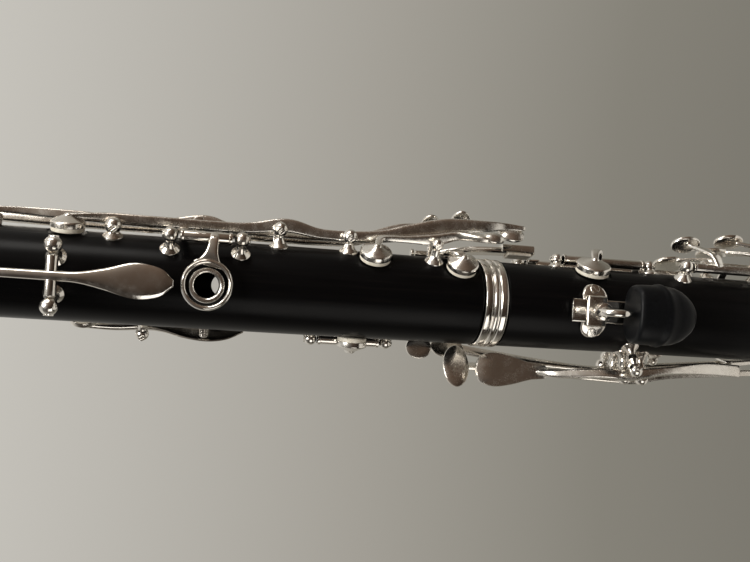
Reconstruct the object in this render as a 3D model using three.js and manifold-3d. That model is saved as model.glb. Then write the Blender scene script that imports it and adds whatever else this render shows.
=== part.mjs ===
// A soprano clarinet in B flat, Boehm system with 17 keys and 6 rings, standing on its bell.
// +Z runs up the bore from the bell's rim to the mouthpiece's tip. The thumb side faces -Y,
// the finger holes face +Y, and the player's right hand side is +X. Millimetres.
import * as THREE from "three";
import { mergeVertices } from "three/addons/utils/BufferGeometryUtils.js";
import Module from "manifold-3d";

const wasm = await Module();
wasm.setup();

// ---------------------------------------------------------------- driving dimensions
const BELL_TOP = 105; // where the lower joint's shoulder meets the bell
const MIDDLE = 335; // where the upper joint's shoulder meets the lower joint
const UPPER_TOP = 528; // where the upper joint's shoulder meets the barrel
const BARREL_TOP = 593; // where the barrel meets the mouthpiece
const TIP = 667; // tip of the mouthpiece
const BODY_R = 13.9; // outside of both joints
const BORE_R = 7.35;
const TENON = 17; // length of each tenon
const BELL_R = 39.5;
const GAP = 0.3; // clearance between pieces that touch
const SEAT = 13.3; // the flat seat of a pad, from the bore's axis
const PAD = 1.5; // thickness of a pad that shows below its cup
const CHIMNEY = 15.8; // top of a finger hole's chimney, from the bore's axis
const RING_DOWN = 14.7; // underside of a ring that is pressed
const HINGE_R = 18.5; // hinge lines of the long keys, from the bore's axis
const TUBE_R = 1.65; // outside radius of a hinge tube
const BALL_R = 2.3; // ball on top of a post
const UPPER_LINE = 142; // azimuth of the upper ring keys' hinge line
const LOWER_LINE = 130; // azimuth of the lower ring key's hinge line
const BODY_SIDES = 24;
const ROUND = 8; // sides of a small turned piece

// Azimuth 0 is the thumb side, 90 the player's right, 180 the front and 270 the left.
const radial = (a) => [Math.sin((a * Math.PI) / 180), -Math.cos((a * Math.PI) / 180), 0];
const P = (a, r, z) => [radial(a)[0] * r, radial(a)[1] * r, z];
const V = (p) => new THREE.Vector3(...p);

// ---------------------------------------------------------------- solids
// A closed three.js geometry as a manifold-3d solid, facing out.
function solid(geometry) {
  const g = geometry.index ? geometry.toNonIndexed() : geometry.clone();
  const bare = new THREE.BufferGeometry().setAttribute("position", g.getAttribute("position"));
  const merged = mergeVertices(bare, 1e-4);
  const triangles = [];
  const index = merged.index.array;
  for (let i = 0; i < index.length; i += 3) {
    const [a, b, c] = index.slice(i, i + 3);
    if (a !== b && b !== c && a !== c) triangles.push(a, b, c);
  }
  const make = (tris) =>
    new wasm.Manifold(
      new wasm.Mesh({
        numProp: 3,
        vertProperties: merged.attributes.position.array,
        triVerts: new Uint32Array(tris),
      }),
    );
  const made = make(triangles);
  if (made.volume() > 0) return made;
  return make(triangles.reverse());
}

const join = (...pieces) => pieces.flat().reduce((a, b) => a.add(b));

// A turned piece: profile points are [radius, height along direction], from axis to axis.
function turned(origin, direction, profile, sides = ROUND) {
  const g = new THREE.LatheGeometry(profile.map(([r, h]) => new THREE.Vector2(r, h)), sides);
  const q = new THREE.Quaternion().setFromUnitVectors(V([0, 1, 0]), V(direction).normalize());
  return solid(g.applyQuaternion(q).translate(...origin));
}

// A piece turned about the bore's axis.
const lathe = (profile, sides = BODY_SIDES) => turned([0, 0, 0], [0, 0, 1], profile, sides);

// A tube with open ends: outer and inner profiles as [radius, height] from low to high.
const shell = (outer, inner, sides = BODY_SIDES) =>
  lathe([...outer, ...inner.slice().reverse(), outer[0]], sides);

function rod(p, q, r, sides = ROUND) {
  const d = V(q).sub(V(p));
  const length = d.length();
  return turned(p, d.toArray(), [[0, 0], [r, 0], [r, length], [0, length]], sides);
}

const between = (values, t) => {
  if (typeof values === "number") return values;
  const s = t * (values.length - 1);
  const i = Math.min(Math.floor(s), values.length - 2);
  return values[i] + (values[i + 1] - values[i]) * (s - i);
};

// A flat bar along a smooth curve. Its wide side faces away from the bore's axis, or along up.
function bar(points, width, thick, up = null, steps = 2) {
  const curve = new THREE.CatmullRomCurve3(points.map(V), false, "catmullrom", 0.5);
  const n = (points.length - 1) * steps;
  const rings = [];
  for (let i = 0; i <= n; i++) {
    const t = i / n;
    const c = curve.getPoint(t);
    const along = curve.getTangent(t);
    const out = up ? V(up) : V([c.x, c.y, 0]);
    out.addScaledVector(along, -out.dot(along)).normalize();
    const side = new THREE.Vector3().crossVectors(along, out);
    const w = between(width, t) / 2;
    const h = between(thick, t) / 2;
    const corners = [[-w, -h], [w, -h], [w, h], [-w, h]];
    rings.push(corners.map(([a, b]) => c.clone().addScaledVector(side, a).addScaledVector(out, b)));
  }
  const tri = [];
  for (let i = 0; i < n; i++)
    for (let k = 0; k < 4; k++) {
      const [a, b] = [rings[i][k], rings[i][(k + 1) % 4]];
      const [c, d] = [rings[i + 1][(k + 1) % 4], rings[i + 1][k]];
      tri.push(a, b, c, a, c, d);
    }
  const [s, e] = [rings[0], rings[n]];
  tri.push(s[0], s[2], s[1], s[0], s[3], s[2], e[0], e[1], e[2], e[0], e[2], e[3]);
  return solid(new THREE.BufferGeometry().setFromPoints(tri));
}

// A flat plate: a smooth closed outline of [along u, along v] points, thick along u x v.
function plate(origin, u, v, outline, thick, samples = 14) {
  const loop = new THREE.CatmullRomCurve3(outline.map(([x, y]) => V([x, y, 0])), true);
  const flat = loop.getPoints(samples).slice(0, -1).map((p) => new THREE.Vector2(p.x, p.y));
  const g = new THREE.ExtrudeGeometry(new THREE.Shape(flat), { depth: thick, bevelEnabled: false });
  g.translate(0, 0, -thick / 2);
  const [x, y] = [V(u).normalize(), V(v).normalize()];
  const m = new THREE.Matrix4().makeBasis(x, y, new THREE.Vector3().crossVectors(x, y));
  return solid(g.applyMatrix4(m).translate(...origin));
}

const oval = (w, h) => [[w, 0], [w * 0.7, h * 0.7], [0, h], [-w * 0.7, h * 0.7],
  [-w, 0], [-w * 0.7, -h * 0.7], [0, -h], [w * 0.7, -h * 0.7]];

const box = (low, high) => {
  const size = high.map((h, i) => h - low[i]);
  const centre = high.map((h, i) => (h + low[i]) / 2);
  return solid(new THREE.BoxGeometry(...size).translate(...centre));
};

// ---------------------------------------------------------------- pieces of keywork
// A post that stands on the body: a flared foot, a stem and a ball at radius r.
function post(a, z, r = HINGE_R, ball = BALL_R) {
  const foot = BODY_R - 1;
  const h = r - foot;
  return turned(P(a, foot, z), radial(a), [[0, 0], [2.9, 0], [1.4, 2.6], [1.4, h - ball],
    [ball, h - ball * 0.45], [ball, h + ball * 0.45], [0, h + ball]], 6);
}

// A pad cup with a conical back, its pad and the tone hole below it.
const cup = (a, z, R, seat = SEAT) =>
  turned(P(a, seat + PAD + 2 * GAP, z), radial(a),
    [[0, 0], [R, 0], [R, 1.8], [1, 3.6], [0, 3.6]], 10);
const pad = (a, z, R, seat = SEAT) =>
  turned(P(a, seat + GAP, z), radial(a), [[0, 0], [R, 0], [R, PAD], [0, PAD]], 10);
const hole = (a, z, r, sides = 7) => rod(P(a, 4, z), P(a, 26, z), r, sides);
const spotface = (a, z, R, seat = SEAT) => rod(P(a, seat, z), P(a, 26, z), R + 0.9, 12);

// A ring that a finger covers, and the chimney of the hole inside it.
function ring(a, z, inner, outer) {
  const c = P(a, RING_DOWN, z);
  return turned(c, radial(a), [[inner, 0], [outer, 0], [outer, 1.3], [inner, 1.3], [inner, 0]], 14);
}
const chimney = (a, z, r) => turned(P(a, 10, z), radial(a),
  [[0, 0], [r, 0], [r, CHIMNEY - 10], [0, CHIMNEY - 10]], 12);

// A hinge tube along the body, at azimuth a and radius r.
const tube = (a, z0, z1, r = HINGE_R) => rod(P(a, r, z0), P(a, r, z1), TUBE_R, 7);

// A hinge tube across the body: centred on a point, along the tangent at azimuth a.
function crossTube(a, r, z, half, radius = TUBE_R) {
  const t = [Math.cos((a * Math.PI) / 180), Math.sin((a * Math.PI) / 180), 0];
  const c = P(a, r, z);
  const end = (s) => c.map((x, i) => x + s * t[i]);
  return rod(end(-half), end(half), radius, 7);
}

// ---------------------------------------------------------------- tone holes
// Each is [azimuth, z, hole radius, pad radius].
const HOLES = {
  register: [0, 510, 2.5, 4.0],
  throat_a: [180, 474, 2.6, 4.3],
  g_sharp: [234, 458, 2.6, 4.3],
  first: [180, 431, 2.7, 4.2],
  bridge: [180, 402.5, 2.7, 4.2],
  cross: [265, 374, 3.0, 4.8],
  c_sharp: [50, 342, 3.0, 5.0],
  side_1: [58, 370, 3.0, 5.0],
  side_2: [76, 463, 3.0, 5.0],
  side_3: [94, 487, 2.8, 4.8],
  side_4: [118, 503, 2.8, 4.8],
  lower: [218, 296, 3.2, 5.0],
  lower_cross: [66, 295.5, 3.6, 5.7],
  a_flat: [42, 225, 4.5, 6.8],
  f_sharp: [165, 197, 5.0, 7.6],
  f: [150, 168, 5.4, 8.2],
  e: [150, 138, 5.4, 8.2],
};
// Finger holes: [azimuth, z, hole radius, chimney radius, ring inside, ring outside].
const FINGERS = {
  thumb: [0, 421.6, 3.75, 5.2, 6.15, 7.65],
  left_1: [180, 416, 3.6, 5.3, 6.1, 7.4],
  left_2: [180, 389, 3.8, 5.3, 6.1, 7.4],
  left_3: [180, 360, 3.7, 5.4],
  right_1: [180, 307, 4.0, 5.4, 6.2, 7.6],
  right_2: [180, 285, 4.2, 5.6, 6.4, 7.8],
  right_3: [180, 259, 4.8, 6.2, 7.0, 8.4],
};
const UPPER_HOLES = ["throat_a", "g_sharp", "first", "bridge", "cross", "c_sharp",
  "side_1", "side_2", "side_3", "side_4"];
const LOWER_HOLES = ["lower", "lower_cross", "a_flat", "f_sharp", "f", "e"];
const REGISTER_SEAT = 15.6;
const cupOf = (n) => cup(HOLES[n][0], HOLES[n][1], HOLES[n][3]);
const padOf = (n) => pad(HOLES[n][0], HOLES[n][1], HOLES[n][3]);
const apex = (n) => P(HOLES[n][0], SEAT + PAD + 3.4, HOLES[n][1]);

// Keys that stand open at rest: each is modelled pressed, then swung open about its hinge line.
// Each is [azimuth, radius, degrees]. A turn against the azimuth is negative.
const STAND_OPEN = {
  thumb: [47, 19.5, 5.2],
  first: [UPPER_LINE, HINGE_R, -7.5],
  bridge: [UPPER_LINE, HINGE_R, -7.5],
  lower: [LOWER_LINE, HINGE_R, -5],
  f_sharp: [102, HINGE_R, -7.6],
  f: [66, HINGE_R, -7.9],
  e: [84, HINGE_R, -8.5],
};
function swing(name, made) {
  const [a, r, degrees] = STAND_OPEN[name];
  const [x, y] = P(a, r, 0);
  return made.translate([-x, -y, 0]).rotate([0, 0, degrees]).translate([x, y, 0]);
}
const ringOf = (n) => ring(FINGERS[n][0], FINGERS[n][1], FINGERS[n][4], FINGERS[n][5]);

// ---------------------------------------------------------------- materials
const finish = (color, roughness, metalness) =>
  new THREE.MeshStandardMaterial({ color, roughness, metalness });
const WOOD = finish(0x0b0b0d, 0.38, 0);
const SILVER = finish(0xb9b3a8, 0.22, 1);
const EBONITE = finish(0x0a0a0a, 0.18, 0);
const CORK = finish(0xb98f5e, 0.9, 0);
const SKIN = finish(0xe9dfcb, 0.6, 0);
const CANE = finish(0xd9bf7a, 0.6, 0);
const RUBBER = finish(0x16181b, 0.75, 0);

const clarinet = new THREE.Group();

// Adds a piece. Its mesh's own origin is the given point, such as a point on its hinge.
function add(name, material, made, origin = [0, 0, 0]) {
  const m = made.getMesh();
  const g = new THREE.BufferGeometry();
  g.setAttribute("position", new THREE.BufferAttribute(Float32Array.from(m.vertProperties), 3));
  g.setIndex(new THREE.BufferAttribute(Uint32Array.from(m.triVerts), 1));
  g.translate(...origin.map((x) => -x));
  const mesh = new THREE.Mesh(g, material);
  mesh.name = name;
  mesh.position.set(...origin);
  clarinet.add(mesh);
}

// ---------------------------------------------------------------- the upper joint
// Two posts that carry a hinge across the body.
function crossPosts(a, r, z, half, ball = BALL_R) {
  const t = [Math.cos((a * Math.PI) / 180), Math.sin((a * Math.PI) / 180), 0];
  return [-half, half].map((s) => {
    const c = P(a, r, z).map((x, i) => x + s * t[i]);
    const around = (Math.atan2(c[0], -c[1]) * 180) / Math.PI;
    return post(around, z, Math.hypot(c[0], c[1]), ball);
  });
}
const upperPosts = [
  ...crossPosts(0, 20.6, 464.5, 8.6, 2.7),
  ...crossPosts(188, 19.2, 453, 7.0, 2.1),
  ...crossPosts(227, 18.8, 440, 4.9, 2.1),
  post(47, 433, 19.5, 2.5), post(47, 412, 19.5, 2.5),
  post(UPPER_LINE, 440.5), post(UPPER_LINE, 406), post(UPPER_LINE, 342.6),
  post(242, 386.6, 17.6, 2.1), post(242, 361.4, 17.6, 2.1),
  post(62.4, 350.5, 19.9, 1.9), post(75, 400, 19.4), post(74.5, 378, 18.9),
  post(129.5, 425, 19.6, 2.1), post(66, 449.8, 17.3, 2.5),
];
const ear = (a, r, z) => bar([P(a, BODY_R - 1, z), P(a, r + 1.6, z)], 3, 0.9, [
  Math.cos((a * Math.PI) / 180), Math.sin((a * Math.PI) / 180), 0], 1);
upperPosts.push(ear(80.6, 19.2, 350.5), ear(95.5, 19.6, 400), ear(96.5, 19.2, 425));
const cEar = (z) => rod(P(112, 15.8, z), P(112, 15.8, z + 1), 1.6, 8);
const cStem = (z) => bar([P(112, BODY_R - 1, z + 0.5), P(112, 15.8, z + 0.5)], 2.4, 1, [0, 0, 1], 1);
upperPosts.push(cEar(339.6), cStem(339.6), cEar(354.4), cStem(354.4));

const upperShape = shell(
  [[11.9, MIDDLE - TENON], [11.9, MIDDLE], [BODY_R, MIDDLE], [BODY_R, 400], [BODY_R - 0.3, UPPER_TOP],
    [11.6, UPPER_TOP], [11.6, UPPER_TOP + TENON - 1]],
  [[BORE_R, MIDDLE - TENON], [BORE_R, UPPER_TOP + TENON - 1]],
);
const corkCut = (r, z0, z1) => shell([[r + 2, z0], [r + 2, z1]], [[r, z0], [r, z1]]);
const bore = (z0, z1) => lathe([[0, z0], [BORE_R, z0], [BORE_R, z1], [0, z1]]);
const LEFT_FINGERS = ["left_1", "left_2", "left_3"];
let upper = join(upperShape, LEFT_FINGERS.map((n) => chimney(FINGERS[n][0], FINGERS[n][1], FINGERS[n][3])));
upper = join(upper, turned(P(0, 12, 510), radial(0),
  [[0, 0], [3, 0], [2.4, REGISTER_SEAT - 12], [0, REGISTER_SEAT - 12]]));
for (const n of UPPER_HOLES) upper = upper.subtract(spotface(HOLES[n][0], HOLES[n][1], HOLES[n][3]));
upper = join(upper, upperPosts).subtract(bore(300, 560));
for (const n of ["register", ...UPPER_HOLES]) {
  upper = upper.subtract(hole(HOLES[n][0], HOLES[n][1], HOLES[n][2]));
}
for (const n of LEFT_FINGERS) upper = upper.subtract(hole(180, FINGERS[n][1], FINGERS[n][2]));
upper = upper.subtract(hole(0, FINGERS.thumb[1], FINGERS.thumb[3] + GAP, 16));
upper = upper.subtract(corkCut(11.2, MIDDLE - TENON + 2, MIDDLE - 3));
upper = upper.subtract(corkCut(10.9, UPPER_TOP + 3, UPPER_TOP + TENON - 3));
add("upper_joint", WOOD, upper);

// The thumb hole's metal tube.
const THUMB_Z = FINGERS.thumb[1];
add("thumb_tube", SILVER,
  turned(P(0, 7.6, THUMB_Z), radial(0), [[5.2, 0], [5.2, 8.3], [3.75, 8.3], [3.75, 0], [5.2, 0]], 16)
    .subtract(bore(400, 440)), P(0, 14, THUMB_Z));
add("middle_tenon_cork", CORK, shell([[12.1, MIDDLE - TENON + 2.3], [12.1, MIDDLE - 3.3]],
  [[11.5, MIDDLE - TENON + 2.3], [11.5, MIDDLE - 3.3]], 16));
add("barrel_tenon_cork", CORK, shell([[11.8, UPPER_TOP + 3.3], [11.8, UPPER_TOP + TENON - 3.3]],
  [[11.2, UPPER_TOP + 3.3], [11.2, UPPER_TOP + TENON - 3.3]], 16));

// ---------------------------------------------------------------- the upper joint's keys
const PIVOT = { register: P(0, 20.6, 464.5), a: P(188, 19.2, 453), g: P(227, 18.8, 440) };
add("register_key", SILVER, join(
  crossTube(0, 20.6, 464.5, 5.6, 1.7),
  bar([[0, -21.2, 432], [0, -21.3, 440], [0, -21.3, 452],
    [0, -21.4, 464.5], [0, -20.9, 490], [0, -20.7, 511]],
    [4, 10, 4.4, 3.4, 3.2, 3], [1.4, 1.9, 2.2, 2.4, 2, 1.6]),
  cup(0, 510, HOLES.register[3], REGISTER_SEAT),
), PIVOT.register);
add("register_pad", SKIN, pad(0, 510, HOLES.register[3], REGISTER_SEAT), P(0, REGISTER_SEAT, 510));

const THUMB_HINGE = P(47, 19.5, 422);
add("thumb_ring_key", SILVER, swing("thumb", join(
  tube(47, 415, 430, 19.5),
  ringOf("thumb"),
  bar([P(47, 19.5, 420.3), P(40, 19.6, 420.4), P(30, 17.4, 421), P(24, 16.4, 421.4)],
    [2.6, 3, 4, 8], [2.6, 2, 1.6, 1.2]),
  bar([P(47, 19.5, 428), P(60, 18.1, 428.6), P(76, 16.5, 429), P(90, 16.2, 429), P(104, 16.3, 429)],
    2.8, [3, 1.6, 0.9, 0.9, 0.9]),
)), THUMB_HINGE);

add("throat_a_key", SILVER, join(
  crossTube(188, 19.2, 453, 4.4),
  bar([P(203, 20.2, 427), P(202, 20.6, 434), P(195, 20.6, 442),
    P(188, 20.3, 453), P(182, 20.4, 464), P(180, 19.2, 474)],
    [4, 7, 4, 3.2, 3, 2.6], [1.4, 1.6, 1.8, 2.2, 1.8, 1.6]),
  cupOf("throat_a"),
), PIVOT.a);
add("throat_a_pad", SKIN, padOf("throat_a"), P(180, SEAT, 474));

add("g_sharp_key", SILVER, join(
  crossTube(227, 18.8, 440, 2.5),
  bar([P(229, 18.6, 408.5), P(230, 19.2, 414), P(230, 19.6, 420), P(229, 19.6, 427), P(228, 19.6, 434),
    P(227, 19.9, 440), P(230, 19.9, 449), P(234, 18.6, 458)],
    [3, 8, 10, 8, 4, 3.2, 3, 2.6], [1, 1, 1.1, 1.2, 1.6, 2, 1.8, 1.6]),
  cupOf("g_sharp"),
), PIVOT.g);
add("g_sharp_pad", SKIN, padOf("g_sharp"), P(234, SEAT, 458));

const ringArm = (a0, z, inner) =>
  bar([P(a0, HINGE_R, z), P(a0 + 12, 17.9, z), [inner + 0.7, RING_DOWN + 0.7, z]],
    [3, 2.6, 4.4], [2.4, 1.5, 1.1]);
const UP_HINGE = (z) => P(UPPER_LINE, HINGE_R, z);
add("first_ring_key", SILVER, swing("first", join(
  tube(UPPER_LINE, 408.6, 437.9),
  ringOf("left_1"),
  ringArm(UPPER_LINE, 416, FINGERS.left_1[4]),
  cupOf("first"),
  bar([UP_HINGE(431), P(158, 20, 431), apex("first")], [3, 2.6, 2.2], [2.4, 1.6, 1.4]),
  bar([UP_HINGE(429), P(130, 17.9, 429), P(120, 17.2, 429), P(109, 16.9, 429)], 2.6, [2.6, 1.4, 0.9, 0.9]),
)), UP_HINGE(420));
add("first_ring_pad", SKIN, swing("first", padOf("first")), P(180, SEAT, 431));

add("bridge_ring_key", SILVER, swing("bridge", join(
  tube(UPPER_LINE, 345.2, 403.4),
  ringOf("left_2"),
  ringArm(UPPER_LINE, 389, FINGERS.left_2[4]),
  cupOf("bridge"),
  bar([UP_HINGE(401.6), P(158, 20, 402), apex("bridge")], [3, 2.6, 2.2], [2.4, 1.6, 1.4]),
  bar([UP_HINGE(347.4), P(134, 19.9, 346.6), P(124, 20.2, 340), P(116, 20.3, 330), P(113, 20.3, 312.4)],
    [3, 3, 3.4, 4.6, 5], [2.6, 1.6, 1.3, 1.3, 1.3]),
)), UP_HINGE(389));
add("bridge_ring_pad", SKIN, swing("bridge", padOf("bridge")), P(180, SEAT, 402.5));

const CROSS_HINGE = (z) => P(242, 17.6, z);
add("cross_key", SILVER, join(
  tube(242, 363.8, 384.2, 17.6),
  cupOf("cross"),
  bar([CROSS_HINGE(374), P(252, 19.4, 374), apex("cross")], [3, 2.6, 2], [2.4, 1.5, 1.4]),
  bar([CROSS_HINGE(374), P(228, 18.6, 374), P(212, 19, 374.4), P(198, 19, 374.8), P(186, 19, 374.8)],
    [3, 2.6, 3, 4.6, 3.4], [2.4, 1.5, 1.3, 1.3, 1.1]),
), CROSS_HINGE(374));
add("cross_pad", SKIN, padOf("cross"), P(265, SEAT, 374));

const C_SHARP_TOUCH = [-16.6, 9.4, 349.4];
add("c_sharp_key", SILVER, join(
  rod(P(112, 15.8, 341.1), P(112, 15.8, 353.9), 1.3, 8),
  bar([P(112, 15.8, 345), P(98, 15.3, 345), P(80, 15.4, 345.2),
    P(66, 17, 345), P(57, 18.2, 343.6), apex("c_sharp")],
    [3, 2.8, 2.8, 3.4, 3, 2], [2.2, 1, 1.2, 1.5, 1.4, 1.4]),
  cupOf("c_sharp"),
  bar([P(112, 15.8, 350.2), P(128, 15.9, 349.6), P(142, 15.9, 349), P(160, 16.7, 348.6),
    P(180, 17.6, 348.4), P(205, 18.9, 348.6), P(226, 19.6, 349), P(240, 18.9, 349.4)],
    [3, 2.8, 2.8, 2.8, 2.8, 2.8, 3.2, 4], [2, 1, 1, 1.1, 1.2, 1.3, 1.3, 1.3]),
  plate(C_SHARP_TOUCH, [0, 0, 1], [1, 0.15, 0], oval(4.5, 3.6), 1.4, 10),
), P(112, 15.8, 348));
add("c_sharp_pad", SKIN, padOf("c_sharp"), P(50, SEAT, 342));

// Side keys: levers along the right of the joint that rock on hinge tubes across it.
const SIDE = {
  side_1: { a: 73, z: 350.5, r: 19.5, touch: 332, tip: 23.4, reach: 63, ownPad: true },
  side_2: { a: 86.5, z: 400, r: 19.4, touch: 322, tip: 25.5, reach: 90.5, ownPad: true },
  side_3: { a: 104, z: 425, r: 19.2, touch: 339, tip: 27.6, reach: 99 },
  side_4: { a: 116, z: 425, r: 19.6, touch: 347, tip: 28.6, reach: 117 },
};
for (const [name, k] of Object.entries(SIDE)) {
  const at = (z, r, a = k.a) => P(a, r, z);
  const low = 18.1; // centre of the lever where it runs close to the body
  const path = [at(k.touch - 5, k.tip - 0.3, k.reach), at(k.touch + 2, k.tip, k.reach),
    at(k.touch + 11, k.tip - 1.2)];
  const w = [5, 8, 3];
  const h = [1.2, 1.4, 2.2];
  const put = (p, a, b) => { path.push(p); w.push(a); h.push(b); };
  if (name !== "side_1") {
    put(at(352 + (k.touch - 327) * 0.7, 22.4), 2.4, 2.6);
    put(at(366 + (k.touch - 327) * 0.5, 19), 2.3, 2.6);
    put(at(k.z - 16, low), 2.2, 2.5);
  }
  put(at(k.z, k.r + 0.6), 2.6, 3);
  const [pa, pz] = HOLES[name];
  if (name === "side_1") {
    put(at(360, 19.2), 2.2, 2);
    put(at(368, 19.4, 70), 2.2, 1.6);
  } else {
    put(at(k.z + 16, low), 2.2, 2.5);
    put(at(pz - 12, 18.3, (pa + k.a) / 2), 2.2, 2.2);
  }
  put(apex(name), 2, 1.5);
  const half = { side_1: 1.3, side_2: 1.5, side_3: 1.8, side_4: 1.6 }[name];
  const key = join(bar(path, w, h, null, 2), crossTube(k.a, k.r, k.z, half), cupOf(name));
  if (k.ownPad) add(`${name}_pad`, SKIN, padOf(name), P(pa, SEAT, pz));
  const glued = turned(P(pa, SEAT + GAP, pz), radial(pa), [[0, 0], [4.2, 0], [4.2, PAD + 1], [0, PAD + 1]]);
  add(`${name}_key`, SILVER, k.ownPad ? key : join(key, glued), at(k.z, k.r));
}

// ---------------------------------------------------------------- the register tube
add("register_tube", SILVER, turned(P(0, 5.6, 510), radial(0),
  [[1.1, 0], [2.1, 0], [2.1, REGISTER_SEAT - 5.6], [1.1, REGISTER_SEAT - 5.6], [1.1, 0]], 10)
  .subtract(bore(500, 520)), P(0, REGISTER_SEAT, 510));

// ---------------------------------------------------------------- the lower joint
const E_LINE = 84; // azimuths of the hinge lines on the right of the lower joint
const F_LINE = 66;
const F_SHARP_LINE = 102;
const CROSS_LINE = 98;
const SOCKET = 12.4; // inside of the lower joint's socket
const lowerShape = shell(
  [[11.2, BELL_TOP - TENON + 1], [11.2, BELL_TOP], [BODY_R + 0.4, BELL_TOP], [BODY_R, 300],
    [BODY_R, MIDDLE - 8.5], [13.1, MIDDLE - 8.5], [13.1, MIDDLE - GAP]],
  [[9.6, BELL_TOP - TENON + 1], [BORE_R, 150], [BORE_R, MIDDLE - TENON - 1],
    [SOCKET, MIDDLE - TENON - 1], [SOCKET, MIDDLE - GAP]],
);
const LEVER_R = 22.6; // the left levers' hinge lines, from the bore's axis
// Each lever: azimuth and height of its hinge, centre of its touch, where its arm bends towards
// the hinge, the touch's width direction
// and half sizes along and across, and the height where its tail ends.
const LEVERS = {
  lh_e: { a: 250, z: 281, at: [-16.5, 16, 337.5], bend: [-19.5, 11.5, 312], across: [0.8, 0.6, 0],
    half: [6, 4.2], end: 223 },
  lh_f: { a: 272, z: 274.5, at: [-22, 7.2, 336.5], bend: [-22, 5.6, 312], across: [0.94, 0.35, 0],
    half: [4.6, 7.2], end: 210 },
  lh_f_sharp: { a: 294, z: 281, at: [-22, 1.2, 320.5], bend: [-22, -3, 304], across: [0.98, 0.2, 0],
    half: [9.5, 5.8], end: 237 },
};
const lowerPosts = [
  post(LOWER_LINE, 315), post(LOWER_LINE, 250.6),
  post(CROSS_LINE, 305, 16.6, 2), post(CROSS_LINE, 270.6, 16.6, 2),
  post(F_SHARP_LINE, 248), post(F_SHARP_LINE, 188),
  post(E_LINE, 232), post(E_LINE, 130),
  post(F_LINE, 262), post(F_LINE, 217.6), post(F_LINE, 160),
  ...Object.values(LEVERS).flatMap((k) => [k.a - 10.5, k.a + 10.5].map((a) => post(a, k.z, LEVER_R, 1.9))),
  post(261, 266.6, 16.4, 1.8),
];
let lower = lowerShape;
const RIGHT = ["right_1", "right_2", "right_3"];
lower = join(lower, RIGHT.map((n) => chimney(180, FINGERS[n][1], FINGERS[n][3])));
for (const n of LOWER_HOLES) lower = lower.subtract(spotface(HOLES[n][0], HOLES[n][1], HOLES[n][3]));
lower = join(lower, lowerPosts).subtract(bore(120, MIDDLE - TENON - 1.5));
for (const n of LOWER_HOLES) lower = lower.subtract(hole(HOLES[n][0], HOLES[n][1], HOLES[n][2]));
for (const n of RIGHT) lower = lower.subtract(hole(180, FINGERS[n][1], FINGERS[n][2]));
lower = lower.subtract(corkCut(10.6, BELL_TOP - TENON + 3, BELL_TOP - 3));
add("lower_joint", WOOD, lower);
add("bell_tenon_cork", CORK, shell([[11.6, BELL_TOP - TENON + 3.3], [11.6, BELL_TOP - 3.3]],
  [[10.9, BELL_TOP - TENON + 3.3], [10.9, BELL_TOP - 3.3]], 16));
add("middle_socket_ring", SILVER, shell(
  [[14.2, 327], [14.5, 327.8], [14.5, 333.8], [14.2, 334.6]], [[13.4, 327], [13.4, 334.6]], 24));

// ---------------------------------------------------------------- the lower joint's keys
const LOW = (z, r = HINGE_R) => P(LOWER_LINE, r, z);
add("lower_ring_key", SILVER, swing("lower", join(
  tube(LOWER_LINE, 253.2, 312.4),
  RIGHT.map(ringOf),
  ringArm(LOWER_LINE, 307, FINGERS.right_1[4]),
  ringArm(LOWER_LINE, 285, FINGERS.right_2[4]),
  ringArm(LOWER_LINE, 259, FINGERS.right_3[4]),
  cupOf("lower"),
  bar([LOW(296), P(145, 19.9, 296), P(165, 19.8, 296), P(190, 19.7, 296), apex("lower")],
    [3, 2.8, 2.6, 2.4, 2], [2.4, 1.5, 1.5, 1.5, 1.4]),
  bar([LOW(310.8), P(122, 17.8, 311), P(112, 17.2, 311.5)], [3, 3.4, 4], [2.4, 1, 0.9]),
)), LOW(283));
add("lower_ring_pad", SKIN, swing("lower", padOf("lower")), P(HOLES.lower[0], SEAT, HOLES.lower[1]));

const CROSS_2 = (z, r = 16.6) => P(CROSS_LINE, r, z);
add("lower_cross_key", SILVER, join(
  tube(CROSS_LINE, 272.9, 302.7, 16.6),
  cupOf("lower_cross"),
  bar([CROSS_2(290), P(88, 19.8, 291.4), P(78, 19.8, 294), apex("lower_cross")],
    [3, 3, 2.8, 2], [2.4, 1.5, 1.5, 1.4]),
  bar([CROSS_2(275), P(110, 16.6, 274), P(122, 16.2, 272.4), P(136, 16.2, 272.4), P(150, 17, 272.4),
    P(165, 17.9, 272.4)], [3, 2.6, 2.6, 2.6, 3.2, 3.6], [2, 0.9, 0.7, 0.7, 1.1, 1.1]),
), CROSS_2(288));
add("lower_cross_pad", SKIN, padOf("lower_cross"), P(66, SEAT, 295.5));

// The right little finger's four keys. Each has a touch, a hinge tube, a pad arm and a link arm.
const touch = (a, r, z, w, h, facing = a) => {
  const turn = (facing * Math.PI) / 180;
  return plate(P(a, r, z), [0, 0, 1], [Math.cos(turn), Math.sin(turn), 0], oval(w, h), 1.6, 10);
};
const armOver = (a0, z, name) => {
  const [pa] = HOLES[name];
  const mid = (t) => a0 + (pa - a0) * t;
  return bar([P(a0, HINGE_R + 0.4, z), P(mid(0.3), 20.8, z), P(mid(0.7), 20.4, z), apex(name)],
    [3.2, 3.2, 3, 2.4], [2.6, 1.6, 1.6, 1.5]);
};
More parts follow.
